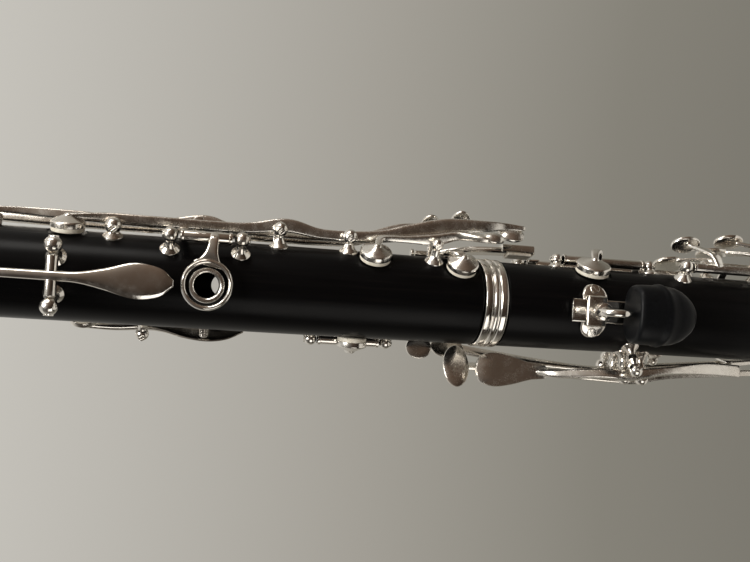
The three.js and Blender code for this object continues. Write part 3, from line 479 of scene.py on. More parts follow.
def screw_end(centre, direction, r):
    """A slotted screw head that shows on the end of a post's ball."""
    d = Vector(direction).normalized()
    side = d.orthogonal().normalized()
    base = rod(Vector(centre) - d * 0.5, Vector(centre) + d * 0.12, r, 20, 0.05)
    halves = [block_along(Vector(centre) + side * s * r * 0.55, d, side, r * 0.72, r * 1.3, 0.35)
              for s in (-1, 1)]
    return all_of(base, halves)


def block_along(centre, out, across, width, length, height):
    """A small raised block on a face: width lies along across, length along the third direction."""
    third = out.cross(across)
    return bar([centre - third * length / 2, centre + third * length / 2], width, height * 2, out, 2, 0.02,
               (0.2, 0.2))


def cup_solid(name, seat=SEAT):
    """A pad cup: a straight rim and a low cone that rises to a point."""
    a, z, _, R = HOLES[name]
    profile = [(0, 0.9), (R - 0.55, 0.9), (R - 0.5, 0), (R + 0.05, 0), (R + 0.05, 1.55), (R - 0.3, 1.95),
               (R * 0.55, 2.75), (1.3, 3.45), (0.45, 4.0), (0, 4.25)]
    return turned(P(a, seat + PAD + 2 * GAP - 0.3, z), radial(a), profile, 56, 0.12)


def pad_solid(name, seat=SEAT):
    a, z, _, R = HOLES[name]
    profile = [(0, 0), (R - 0.9, 0), (R - 0.15, 0.25), (R - 0.12, PAD - 0.1), (R - 0.7, PAD + 0.8),
               (0, PAD + 0.8)]
    return turned(P(a, seat + GAP, z), radial(a), profile, 48, 0.2)


def ring_solid(name):
    a, z, _, _, inner, outer = FINGERS[name]
    profile = [(inner, 0.25), (inner + 0.35, 0), (outer - 0.4, 0), (outer, 0.35), (outer, 0.9),
               (outer - 0.45, 1.45),
               (inner + 0.55, 1.5), (inner + 0.1, 1.15), (inner, 0.25)]
    return turned(P(a, RING_DOWN, z), radial(a), profile, 64, 0.18)


def tube_solid(a, z0, z1, r):
    """A plain hinge tube along the bore."""
    return rod(P(a, r, z0), P(a, r, z1), TUBE_R, 28, 0.15)


def cross_solid(a, r, z, half, radius=TUBE_R):
    c, t = P(a, r, z), tangent(a)
    return rod(c - t * half, c + t * half, radius, 28, 0.15)


def apex(name):
    return P(HOLES[name][0], SEAT + PAD + 3.55, HOLES[name][1])


def apex_lug(name):
    """The arm's end that is soldered over a cup's point."""
    a, z = HOLES[name][:2]
    return turned(P(a, SEAT + PAD + 2.9, z), radial(a), [(0, 0), (1.5, 0), (1.3, 1.0), (0.7, 1.5), (0, 1.6)],
                  24, 0.2)


posts = []  # joint, azimuth, z, radius of the ball's centre, ball radius, way its screw faces or None


def post(joint, a, z, r=HINGE_R, ball=BALL_R, screw=None):
    posts.append((joint, a, z, r, ball, screw))


def cross_posts(joint, a, r, z, half, ball):
    for s in (-1, 1):
        c = P(a, r, z) + tangent(a) * half * s
        post(joint, math.degrees(math.atan2(c.x, -c.y)), z, math.hypot(c.x, c.y), ball, tangent(a) * s)


UP, DOWN = Vector((0, 0, 1)), Vector((0, 0, -1))
cross_posts("upper", 0, 20.6, 464.5, 8.6, 2.6)
cross_posts("upper", 188, 19.2, 453, 7.0, 2.1)
cross_posts("upper", 227, 18.8, 440, 4.9, 2.1)
post("upper", 47, 433, 19.5, 2.3, UP)
post("upper", 47, 412, 19.5, 2.3, DOWN)
post("upper", UPPER_LINE, 440.5, screw=UP)
post("upper", UPPER_LINE, 406)
post("upper", UPPER_LINE, 342.6, screw=DOWN)
post("upper", 242, 386.6, 17.6, 2.1, UP)
post("upper", 242, 361.4, 17.6, 2.1, DOWN)
post("upper", 62.4, 350.5, 19.9, 1.9, tangent(62) * -1)
post("upper", 75, 400, 19.4, 2.3, tangent(75) * -1)
post("upper", 74.5, 378, 18.9, 2.3, tangent(75) * -1)
post("upper", 129.5, 425, 19.6, 2.1, tangent(129.5))
post("upper", 66, 449.8, 17.3, 2.5, tangent(66) * -1)
post("lower", LOWER_LINE, 315, screw=UP)
post("lower", LOWER_LINE, 250.6, screw=DOWN)
post("lower", CROSS_LINE, 305, 16.6, 2, UP)
post("lower", CROSS_LINE, 270.6, 16.6, 2, DOWN)
post("lower", F_SHARP_LINE, 248, screw=UP)
post("lower", F_SHARP_LINE, 188, screw=DOWN)
post("lower", E_LINE, 232, screw=UP)
post("lower", E_LINE, 130, screw=DOWN)
post("lower", F_LINE, 262, screw=UP)
post("lower", F_LINE, 217.6)
post("lower", F_LINE, 160, screw=DOWN)
LEVER_R = 22.6
# The left levers: hinge azimuth and height, centre of the touch, bend of the arm, the touch's width
# direction, its half sizes, and the height where the tail ends.
LEVERS = {
    "lh_e": (250, 281, (-16.5, 16, 337.5), (-19.5, 11.5, 312), (0.8, 0.6, 0), (6, 4.2), 223),
    "lh_f": (272, 274.5, (-22, 7.2, 336.5), (-22, 5.6, 312), (0.94, 0.35, 0), (4.6, 7.2), 210),
    "lh_f_sharp": (294, 281, (-22, 1.2, 320.5), (-22, -3, 304), (0.98, 0.2, 0), (9.5, 5.8), 237),
}
for lever_a, lever_z, *_ in LEVERS.values():
    for side in (-1, 1):
        post("lower", lever_a + 10.5 * side, lever_z, LEVER_R, 2.3, tangent(lever_a + 10.5 * side) * side)
post("lower", 261, 266.6, 16.4, 1.8)


def make_posts():
    for i, (joint, a, z, r, ball, screw) in enumerate(posts):
        solid = post_solid(a, z, r, ball)
        if screw is not None:
            solid = solid + screw_end(P(a, r, z) + screw * (ball - 0.25), screw, ball * 0.5)
        piece(f"post_{i:02d}_{joint}", solid, "body", "silver")


def ear(a, r, z):
    """A thin fin that carries two levers' screw between them."""
    return bar([P(a, BODY_R - 1, z), P(a, r + 1.6, z)], 3, 0.9, tangent(a), 4, 0.3)


# ---------------------------------------------------------------- wood
def hole_solid(a, z, r):
    """A drill through one wall, from inside the bore outwards."""
    return turned(P(a, 4, z), radial(a), [(0, 0), (r, 0), (r, 24), (0, 24)], 40, 0)


def spotface(name):
    a, z, _, R = HOLES[name]
    return turned(P(a, SEAT, z), radial(a), [(0, 0), (R + 0.9, 0), (R + 0.9, 12), (0, 12)], 56, 0)


def chimney(name):
    a, z, _, r = FINGERS[name][:4]
    return turned(P(a, 11, z), radial(a), [(0, 0), (r + 0.5, 0), (r + 0.15, CHIMNEY - 13),
                                           (r, CHIMNEY - 11.4),
                                          (r - 0.5, CHIMNEY - 11), (0, CHIMNEY - 11)], 56, 0.2)


def wood_joint(name, outside, inside, holes, fingers, extra_cuts):
    """A joint's tube with its tone holes cut, and the chimneys of its finger holes as a second piece."""
    bore_cut = lathe([(0, 60), (BORE_R, 60), (BORE_R, 600), (0, 600)], 96, 0)
    finger_cut = all_of([hole_solid(180, FINGERS[n][1], FINGERS[n][2]) for n in fingers])
    cutters = [all_of([spotface(n) for n in holes]), all_of([hole_solid(*HOLES[n][:3]) for n in holes]),
               finger_cut, *extra_cuts]
    piece(name, shell(outside, inside, 160, 0.3), "body", "wood", [name], cutters=cutters)
    piece(f"{name}_chimneys", all_of([chimney(n) for n in fingers]), "body", "wood",
          cutters=[finger_cut, bore_cut])


def make_wood():
    upper_out = [(11.9, MIDDLE - TENON), (11.9, MIDDLE), (BODY_R - 0.3, MIDDLE), (BODY_R, MIDDLE + 0.4),
                 (BODY_R, 400), (BODY_R - 0.3, UPPER_TOP), (11.6, UPPER_TOP), (11.6, UPPER_TOP + TENON - 1)]
    upper_in = [(BORE_R, MIDDLE - TENON), (BORE_R, UPPER_TOP + TENON - 1)]
    thumb = FINGERS["thumb"]
    wood_joint("upper_joint", upper_out, upper_in, (*UPPER_HOLES, "register"), ("left_1", "left_2", "left_3"),
               [hole_solid(0, thumb[1], thumb[3] + 0.05)])
    lower_out = [(11.2, BELL_TOP - TENON + 1), (11.2, BELL_TOP), (BODY_R + 0.4, BELL_TOP), (BODY_R, 300),
                 (BODY_R, MIDDLE - 8.5), (13.1, MIDDLE - 8.5), (13.1, MIDDLE - GAP)]
    lower_in = [(9.6, BELL_TOP - TENON + 1), (BORE_R, 150), (BORE_R, MIDDLE - TENON - 1),
                (12.4, MIDDLE - TENON - 1), (12.4, MIDDLE - GAP)]
    wood_joint("lower_joint", lower_out, lower_in, LOWER_HOLES, ("right_1", "right_2", "right_3"), [])


# ---------------------------------------------------------------- small fittings
def screw_head(centre, direction, r, body, name):
    """A countersunk slotted screw."""
    d = Vector(direction).normalized()
    side = d.orthogonal().normalized()
    dish = turned(centre, d, [(0, -0.3), (r, -0.3), (r, 0.1), (r * 0.9, 0.22), (0, 0.22)], 28, 0.05)
    slot = bar([Vector(centre) + d * 0.2 - side * r * 2, Vector(centre) + d * 0.2 + side * r * 2], r * 0.26,
               0.5, d, 2, 0.02)
    piece(name, dish, body, "silver", cutters=[slot])


def make_fittings():
    """Tenon corks, socket rings and the metal tubes that line the thumb and register holes."""
    def cork(name, r, inner, low, high, body="body"):
        ribs = [(r - 0.1, low), *[(r + 0.08 * (i % 2), low + (high - low) * (i + 1) / 8) for i in range(7)],
                (r - 0.1, high)]
        piece(name, shell(ribs, [(inner, low), (inner, high)], 96, 0.15), body, "cork", [name])

    cork("middle_tenon_cork", 12.1, 11.4, MIDDLE - TENON + 2.3, MIDDLE - 3.3)
    cork("barrel_tenon_cork", 11.8, 11.1, UPPER_TOP + 3.3, UPPER_TOP + TENON - 3.3)
    cork("bell_tenon_cork", 11.6, 10.8, BELL_TOP - TENON + 3.3, BELL_TOP - 3.3)
    cork("mouthpiece_cork", 11.7, 11.0, BARREL_TOP - TENON + 3.3, BARREL_TOP - 3.3, "barrel_body")
    bands = [(14.05, 327), (14.35, 327.2), (14.5, 327.9), (14.4, 329.2), (14.1, 329.5), (14.1, 329.9),
             (14.5, 330.1),
             (14.68, 330.8), (14.5, 331.5), (14.1, 331.7), (14.1, 332.1), (14.4, 332.4), (14.5, 333.7),
             (14.35, 334.4), (14.05, 334.6)]
    piece("middle_socket_ring", shell(bands, [(13.35, 327), (13.35, 334.6)], 160, 0.12), "body", "bright",
          ["middle_socket_ring"])
    z = FINGERS["thumb"][1]
    lining = [(5.25, 0), (5.25, 8.0), (5.0, 8.35), (4.2, 8.4), (3.8, 8.1), (3.75, 7.6), (3.75, 0), (5.25, 0)]
    piece("thumb_tube", turned(P(0, 7.6, z), radial(0), lining, 64, 0.12), "body", "worn", ["thumb_tube"],
          cutters=[lathe([(0, 400), (BORE_R, 400), (BORE_R, 440), (0, 440)], 96, 0)])
    vent = [(1.1, 0), (2.1, 0), (2.1, 9.7), (1.8, 10), (1.1, 10), (1.1, 0)]
    piece("register_tube", turned(P(0, 5.6, 510), radial(0), vent, 32, 0.1), "body", "silver",
          ["register_tube"])
    rise = [(2.2, 0), (3.4, 0), (2.9, 2.4), (2.6, 3.6), (2.2, 3.6), (2.2, 0)]
    piece("register_chimney", turned(P(0, 12, 510), radial(0), rise, 40, 0.15), "body", "wood")


# ---------------------------------------------------------------- thumb rest
REST_Z = 298


def ear_plate():
    """The screwed-on plate: two round ears joined by a waist, bent to the wood."""
    ears = [(0, 3.9), (3, 4.3), (5.8, 4.1), (7.9, 2.6), (8.7, 0), (7.9, -2.6), (5.8, -4.1), (3, -4.3),
            (0, -3.9), (-3, -4.3), (-5.8, -4.1), (-7.9, -2.6), (-8.7, 0), (-7.9, 2.6), (-5.8, 4.1), (-3, 4.3)]
    flat = pebble((0, -14.9, REST_Z), (1, 0, 0), (0, 0, 1), ears, 1.5, 0.1, 6)
    for p in flat.points:
        p.y += 0.034 * p.x ** 2
    return flat


def make_thumb_rest():
    """The adjustable thumb rest: its plate, sliding hook, strap ring, screws and rubber cushion."""
    well = rod((0, -20, REST_Z), (0, -16.95, REST_Z), 1.2)
    guide = block((-4.75, -17.6, REST_Z - 3.2), (4.75, -13.9, REST_Z + 3.6))
    tunnel = block((-3.95, -16.9, 288), (3.95, -14.8, 308), 0.05)
    piece("thumb_rest_plate", ear_plate(), "body", "silver", ["thumb_rest_plate"])
    piece("thumb_rest_guide", guide, "body", "silver", cutters=[tunnel, well])
    for side in (-1, 1):
        screw_head(P(27 * side, 15.75, REST_Z), P(27 * side, 1, 0), 1.6, "body", f"rest_screw_{side + 1}")
    rail = all_of(block((-3.7, -16.65, 281.5), (3.7, -15.2, 306.4)),
                  bar([(0, -16.2, 306), (0, -16.6, 306.9)], 7.4, 1.6, (0, -1, 0), 4, 0.1))
    piece("thumb_rest_rail", rail, "thumb_rest_body", "bright", ["thumb_rest_hook"],
          cutters=[bar([(0, -16, 288.5), (0, -16, 295)], 2.6, 4, (0, -1, 0), 4, 0.6)])
    arm = bar([(0, -15.8, 284), (0, -18, 282.9), (0, -23, 282.7), (0, -28, 283.4)], 14.6,
              [1.6, 2.2, 2.2, 1.6],
              (0, 0, 1), 8, 0.1)
    piece("thumb_rest_arm", arm, "thumb_rest_body", "silver")
    piece("thumb_rest_cushion", cushion_solid(), "thumb_rest_body", "rubber", ["thumb_rest_cushion"], 50,
          [rod((-14, -17.6, 268.6), (14, -17.6, 268.6), 9.6, 64, 0)])
    z = REST_Z - 1.7
    stem = turned((0, -16.9, z), (0, -1, 0), [(0, 0), (1.5, 0), (1.5, 0.8), (2.75, 1), (2.9, 1.5),
                                              (2.75, 2.1), (1.7, 2.4), (1.5, 3.4), (0, 3.6)], 36, 0.15)
    knurls = [rod((2.75 * math.cos(t), -18.0, z + 2.75 * math.sin(t)),
                  (2.75 * math.cos(t), -18.9, z + 2.75 * math.sin(t)), 0.22, 8, 0) for t in circle(20)]
    section_loop = [(4.9 + 0.9 * math.cos(t), 1.15 * math.sin(t)) for t in circle(20)]
    loop = turned((0, -25.0, z), (1, 0, 0), [*section_loop, section_loop[0]], 72, 0)
    piece("thumb_rest_strap_ring", all_of(stem, loop, knurls), "strap_ring_body", "bright",
          ["thumb_rest_screw"])


def cushion_solid():
    """The rubber sleeve over the hook: a flat-topped D, rounded towards the bell, with a raised lip."""
    corners = 64
    # height, share of the full section, and how far the middle of the ring hangs below its sides
    levels = [(289.7, 0.8, 0), (289.6, 0.88, 0), (289.1, 0.94, 0), (288.2, 0.975, 0.1), (286, 0.99, 0.5),
              (283, 1.0, 1.2),
              (282.2, 1.0, 1.5), (281.8, 1.035, 1.7), (280.8, 1.045, 2.0), (280.3, 1.0, 2.3),
              (278.4, 0.985, 2.9),
              (276.4, 0.95, 3.4), (274.9, 0.89, 3.6), (273.9, 0.8, 3.6), (273.4, 0.7, 3.5)]
    points, faces = [], hoops(len(levels), corners)
    for z, scale, sag in levels:
        for t in circle(corners):
            x = math.copysign(abs(math.cos(t)) ** 0.72, math.cos(t)) * 9.6
            y = math.copysign(abs(math.sin(t)) ** 0.85, math.sin(t)) * (7.5 if math.sin(t) < 0 else 5.2)
            points.append(Vector((x * scale, -23.2 + y * scale, z - sag * (1 - (x / 9.6) ** 2))))
    faces.append(tuple(range(corners)))
    centre = len(points)
    points.append(Vector((0, -23.2, 269.9)))
    last = (len(levels) - 1) * corners
    faces += [(centre, last + (k + 1) % corners, last + k) for k in range(corners)]
    return Solid(points, faces)


# ---------------------------------------------------------------- keys
def key(name, solids, opens=None, material="silver", pad=None, seat=SEAT, cork=None):
    """One key: its metal, its pad if it has one, and the strip of cork under its touch."""
    body = f"{name}_body"
    turn = (lambda s: swing(opens, s)) if opens else (lambda s: s)
    piece(f"{name}_metal", turn(all_of(solids)), body, material, [name])
    if pad:
        pad_node = f"{name[:-4]}_pad"
        stands_for = [pad_node] if pad_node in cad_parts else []
        piece(f"{name}_pad", turn(pad_solid(pad, seat)), body, "skin", stands_for)
    if cork:
        piece(f"{name}_cork", turn(cork), body, "pale_cork")


def collars(a, z0, z1, r=HINGE_R):
    """A hinge tube with thin collars at its ends."""
    ends = [rod(P(a, r, z), P(a, r, z + 0.9), TUBE_R + 0.22, 28, 0.1) for z in (z0, z1 - 0.9)]
    return all_of(tube_solid(a, z0, z1, r), ends)


def ring_arm(a0, z, inner, outer):
    """The arm from a hinge tube that spreads where it meets a finger ring."""
    return bar([P(a0, HINGE_R, z), P(a0 + 12, 18, z), Vector((outer - 1.6, RING_DOWN + 1.0, z)),
                Vector((inner + 0.8, RING_DOWN + 0.75, z))], [3.2, 2.7, 4.2, 5.4], [2.6, 1.7, 1.3, 1.1])


def make_register_key():
    """The long key over the back of the instrument, and the needle spring under it."""
    heights = [511, 500, 489, 477, 464.5, 457.5, 450.5, 442, 435, 431.4]
    spine = [(0, -(20.7 if z > 505 else 20.95 if z > 480 else 21.4), z) for z in heights]
    widths = [3.2, 2.7, 2.6, 2.7, 2.9, 3.3, 6, 10.2, 8.2, 2.4]
    thicks = [1.6, 1.9, 2.1, 2.3, 2.6, 2.5, 2.3, 2, 1.7, 0.9]
    key("register_key", all_of(
        bar(spine, widths, thicks, None, 10, 0.8),
        cross_solid(0, 20.6, 464.5, 5.7, 1.75), cup_solid("register", REGISTER_SEAT)),
        pad="register", seat=REGISTER_SEAT, material="bright")
    spring = rod((0, -19.3, 466), (0, -16.2, 490), 0.32, 10, 0)
    piece("register_spring", spring, "register_key_body", "steel")


def make_thumb_ring_key():
    """The left thumb's ring, and its arm that lies under the first ring key's."""
    key("thumb_ring_key", all_of(
        collars(47, 415, 430, 19.5), ring_solid("thumb"),
        bar([P(47, 19.9, 420.2), P(41, 19.9, 420.3), P(33, 18.2, 420.7), P(26.5, 16.5, 421.1),
             P(22, 15.9, 421.4)],
            [2.6, 2.9, 3.6, 6.2, 9.2], [2.8, 2.4, 2, 1.6, 1.2], None, 8, 0.15),
        bar([P(47, 19.5, 428), P(60, 18.1, 428.6), P(76, 16.5, 429), P(90, 16.2, 429), P(104, 16.3, 429)],
            2.8, [3, 1.6, 0.9, 0.9, 0.9])), "thumb", "bright")


def make_throat_keys():
    """The throat A key, and the G sharp key with the ribbed pillar that its touch rests over."""
    key("throat_a_key", all_of(
        cross_solid(188, 19.2, 453, 4.4), cup_solid("throat_a"), apex_lug("throat_a"),
        bar([P(203, 20.2, 427), P(202, 20.6, 434), P(195, 20.6, 442), P(188, 20.3, 453), P(182, 20.4, 464),
             P(180, 19.2, 474)], [4, 7.2, 4, 3.2, 3, 2.6], [1.2, 1.7, 1.9, 2.3, 1.8, 1.6], None, 10, 0.6)),
        pad="throat_a")
    key("g_sharp_key", all_of(
        cross_solid(227, 18.8, 440, 2.5), cup_solid("g_sharp"), apex_lug("g_sharp"),
        bar([P(229, 18.6, 408.5), P(230, 19.2, 414), P(230, 19.6, 420), P(229, 19.6, 427), P(228, 19.6, 434),
             P(227, 19.9, 440), P(230, 19.9, 449), P(234, 18.6, 458)], [3, 8.4, 10, 8.4, 4.4, 3.2, 3, 2.6],
            [0.9, 1.05, 1.15, 1.25, 1.6, 2.1, 1.8, 1.6], None, 8, 0.15)), pad="g_sharp")
    ribs = [(0, 0), (2.1, 0), (1.5, 0.7)]
    for i in range(5):
        ribs += [(1.25, 0.9 + i * 0.55), (1.5, 1.15 + i * 0.55)]
    piece("g_sharp_pillar", turned(P(252, 13.4, 421), radial(252), [*ribs, (1.2, 3.9), (0, 4.2)], 28, 0.06),
          "body", "worn")


def on_upper(z):
    """A point on the hinge line that the upper joint's two ring keys share."""
    return P(UPPER_LINE, HINGE_R, z)


def make_ring_key(name, hole, ring, tube, hole_z, arm_z, link, cork=None):
    """A ring key of the upper joint: one hinge tube with its ring, its pad cup and its link."""
    arm = bar([on_upper(arm_z), P(158, 20, hole_z), apex(hole)], [3, 2.6, 2.2], [2.4, 1.7, 1.5])
    _, ring_z, _, _, inner, outer = FINGERS[ring]
    key(name, all_of(collars(UPPER_LINE, *tube), ring_solid(ring), cup_solid(hole), apex_lug(hole),
                     ring_arm(UPPER_LINE, ring_z, inner, outer), link, arm), hole, pad=hole, cork=cork)


def make_ring_keys():
    """The first ring key, and the bridge ring key whose long link reaches over the middle socket."""
    link = bar([on_upper(429), P(130, 17.9, 429), P(120, 17.2, 429), P(109, 16.9, 429)], 2.6,
               [2.6, 1.4, 0.9, 0.9])
    make_ring_key("first_ring_key", "first", "left_1", (408.6, 437.9), 431, 431, link)
    strip = bar([on_upper(347.4), P(134, 19.9, 346.6), P(124, 20.2, 340), P(116, 20.4, 330),
                 P(113, 20.4, 312.4)],
                [3, 3, 3.4, 4.6, 5], [2.6, 2, 2.2, 2.2, 2])
    end_block = bar([P(113, 21.1, 323.5), P(113, 21.1, 312.2)], 5, 3, None, 4, 0.06, (0.3, 0.3))
    cork = bar([P(113, 19.1, 321.5), P(113, 19.1, 313.4)], 4.6, 1.1, None, 4, 0.06, (0.3, 0.3))
    make_ring_key("bridge_ring_key", "bridge", "left_2", (345.2, 403.4), 402, 401.6, all_of(strip, end_block),
                  cork)


def make_cross_keys():
    """The left hand's cross key, and the C sharp key that crosses the front under the bridge."""
    hinge = lambda z: P(242, 17.6, z)
    key("cross_key", all_of(
        collars(242, 363.8, 384.2, 17.6), cup_solid("cross"), apex_lug("cross"),
        bar([hinge(374), P(252, 19.4, 374), apex("cross")], [3, 2.6, 2], [2.4, 1.7, 1.5]),
        bar([hinge(374), P(228, 18.6, 374), P(212, 19, 374.4), P(198, 19, 374.8), P(186, 19, 374.8)],
            [3, 2.6, 3, 4.6, 3.4], [2.4, 1.5, 1.3, 1.3, 1.1])), pad="cross")

    key("c_sharp_key", all_of(
        rod(P(112, 15.8, 341.1), P(112, 15.8, 353.9), 1.3), cup_solid("c_sharp"), apex_lug("c_sharp"),
        bar([P(112, 15.8, 345), P(98, 15.3, 345), P(80, 15.4, 345.2), P(66, 17.3, 345), P(57, 18.4, 343.6),
             apex("c_sharp")], [3, 2.8, 2.8, 3.8, 3.4, 1.8], [2.2, 1, 1.2, 1.6, 1.6, 1.3]),
        bar([P(112, 15.8, 350.2), P(128, 15.9, 349.6), P(142, 15.9, 349), P(160, 16.7, 348.6),
             P(180, 17.6, 348.4), P(205, 18.9, 348.6), P(226, 19.6, 349), P(240, 18.9, 349.4)],
            [3, 2.8, 2.8, 2.8, 2.8, 2.8, 3.2, 4], [2, 1, 1, 1.1, 1.2, 1.3, 1.3, 1.3]),
        pebble((-16.6, 9.4, 349.4), (0, 0, 1), (1, 0.15, 0), oval(4.5, 3.8), 1.1, 0.35)), pad="c_sharp")


# Side keys: hinge azimuth, height and radius, touch height, reach and azimuth, and the way the touch faces.
SIDE = {
    "side_1": (73, 350.5, 19.5, 332, 23.4, 63, 50),
    "side_2": (86.5, 400, 19.4, 322, 25.5, 90.5, 48),
    "side_3": (104, 425, 19.2, 339, 27.6, 99, 140),
    "side_4": (116, 425, 19.6, 347, 28.6, 117, 150),
}


def side_path(name):
    """The lever's spine with its widths and heights, from its touch to its pad."""
    a, z, r, touch, tip, reach, _ = SIDE[name]
    pad_a, pad_z = HOLES[name][:2]
    low = 18.5  # centre of a lever where it runs close to the body
    if name == "side_1":
        path = [(P(reach, tip - 0.3, touch - 2), 3, 1.4), (P(reach, tip - 0.2, touch + 4), 3.2, 2),
                (P(a, tip - 1.3, touch + 11), 2.7, 2.8), (P(a, r + 0.8, z), 2.7, 3.6),
                (P(a, 19.6, 360), 2.3, 2.2), (P(70, 19.4, 368), 2.2, 1.7)]
    elif name == "side_2":
        path = [(P(reach, 25.6, touch - 3), 2.6, 1.8), (P(reach, 25.7, touch + 3), 2.8, 2.6),
                (P(a, 25.2, touch + 11), 2.8, 3.8), (P(a, 23.9, 346), 2.6, 5.6), (P(a, 21.2, 358), 2.5, 5.2),
                (P(a, 19, 369), 2.4, 3.8)]
    else:
        path = [(P(reach, tip - 1.4, touch - 1), 2.4, 1.4), (P(reach, tip - 1.8, touch + 4), 2.6, 2.4),
                (P(a, tip - 3.4, touch + 12), 2.6, 3.2), (P(a, 21.4, touch + 22), 2.5, 3.4),
                (P(a, low + 0.4, touch + 33), 2.4, 3.2)]
    if name != "side_1":
        path += [(P(a, low, z - 14), 2.3, 3.2), (P(a, r + 0.9, z - 2), 2.7, 4.4),
                 (P(a, low, z + 12), 2.3, 3.2)]
        if pad_z - z > 50:
            path.append((P((pad_a + a) / 2, low, pad_z - 24), 2.3, 3))
        path.append((P((pad_a + a) / 2, 18.7, pad_z - 11), 2.2, 2.4))
    path.append((apex(name), 2, 1.5))
    return [list(column) for column in zip(*path)]


def make_side_keys():
    """The four long levers that the right hand works, with the fins that carry them."""
    half = {"side_1": 1.3, "side_2": 1.5, "side_3": 1.8, "side_4": 1.6}
    for name, (a, z, r, touch, tip, reach, face) in SIDE.items():
        points, widths, heights = side_path(name)
        shift = {"side_1": 0.2, "side_2": -2.0}.get(name, -0.6)
        size = {"side_1": (2.4, 3.7), "side_2": (3.8, 4.4)}.get(name, (4.2, 3.3))
        leaf = pebble(P(reach, tip + shift, touch + 0.5), tangent(face), (0, 0, 1), oval(*size), 1.3, 0.9)
        key(f"{name}_key", all_of(bar(points, widths, heights, None, 8, 0.12, (1.2, 0.5)), leaf,
                                  cross_solid(a, r, z, half[name]), cup_solid(name), apex_lug(name)),
            material="worn", pad=name)
    for a, r, z in ((80.6, 19.2, 350.5), (95.5, 19.6, 400), (96.5, 19.2, 425)):
        eye = rod(P(a, r + 0.2, z) - tangent(a) * 0.7, P(a, r + 0.2, z) + tangent(a) * 0.7, 1.7, 28, 0.15)
        piece(f"ear_{round(z)}", all_of(ear(a, r, z), eye), "body", "silver")
    for i, z in enumerate((339.6, 354.4)):
        cheek = all_of(rod(P(112, 15.8, z), P(112, 15.8, z + 1), 1.6),
                       bar([P(112, BODY_R - 1, z + 0.5), P(112, 15.8, z + 0.5)], 2.4, 1, (0, 0, 1)))
        piece(f"c_sharp_ear_{i}", cheek, "body", "silver")


def touch_plate(a, r, z, half_long, half_wide, facing=None):
    """A little finger's touch: an oval plate with a crowned face and soft edges."""
    across = tangent(a if facing is None else facing)
    return pebble(P(a, r, z), across, (0, 0, 1), oval(half_wide, half_long), 1.5, 0.6)


def arm_over(a0, z, name):
    """An arm that rises from a hinge tube and comes down on a cup."""
    pad_a = HOLES[name][0]
    mid = lambda t: a0 + (pad_a - a0) * t
    return bar([P(a0, HINGE_R + 0.4, z), P(mid(0.3), 20.8, z), P(mid(0.7), 20.5, z), apex(name)],
               [3.2, 3.2, 3, 2.4],
               [2.6, 1.7, 1.7, 1.5])


def link_arm(a0, z, a1):
    """An arm that passes over its neighbours and round the front to a left lever's tail."""
    over = [(a0 + 8, 21.6), (93, 22.2), (112, 21.6), (124, 18)] if a0 < 100 else [(114, 18.6), (126, 17)]
    n = round((a1 - 140) / 16)
    around = [(140 + (a1 - 140) * i / n, 15.1) for i in range(n + 1)]
    return bar([P(a0, HINGE_R, z), *[P(a, r, z) for a, r in over + around]], 3, 1.2, None, 6, 0.15)


def make_lower_hand_keys():
    """The right hand's ring key and its cross key."""
    low = lambda z, r=HINGE_R: P(LOWER_LINE, r, z)
    rings = ("right_1", "right_2", "right_3")
    key("lower_ring_key", all_of(
        collars(LOWER_LINE, 253.2, 312.4), [ring_solid(n) for n in rings],
        [ring_arm(LOWER_LINE, FINGERS[n][1], FINGERS[n][4], FINGERS[n][5]) for n in rings],
        cup_solid("lower"), apex_lug("lower"),
        bar([low(296), P(145, 19.9, 296), P(165, 19.8, 296), P(190, 19.7, 296), apex("lower")],
            [3, 2.8, 2.6, 2.4, 2],
            [2.4, 1.6, 1.6, 1.6, 1.4]),
        bar([low(310.8), P(122, 17.8, 311), P(112, 17.2, 311.5)], [3, 3.4, 4], [2.4, 1, 0.9])), "lower",
        pad="lower")

    cross = lambda z: P(CROSS_LINE, 16.6, z)
    key("lower_cross_key", all_of(
        collars(CROSS_LINE, 272.9, 302.7, 16.6), cup_solid("lower_cross"), apex_lug("lower_cross"),
        bar([cross(290), P(88, 19.8, 291.4), P(78, 19.8, 294), apex("lower_cross")], [3, 3, 2.8, 2],
            [2.4, 1.6, 1.6, 1.4]),
        bar([cross(275), P(110, 16.6, 274), P(122, 16.2, 272.4), P(136, 16.2, 272.4), P(150, 17, 272.4),
             P(165, 17.9, 272.4)], [3, 2.6, 2.6, 2.6, 3.2, 3.6], [2, 0.9, 0.7, 0.7, 1.1, 1.1])),
        pad="lower_cross")


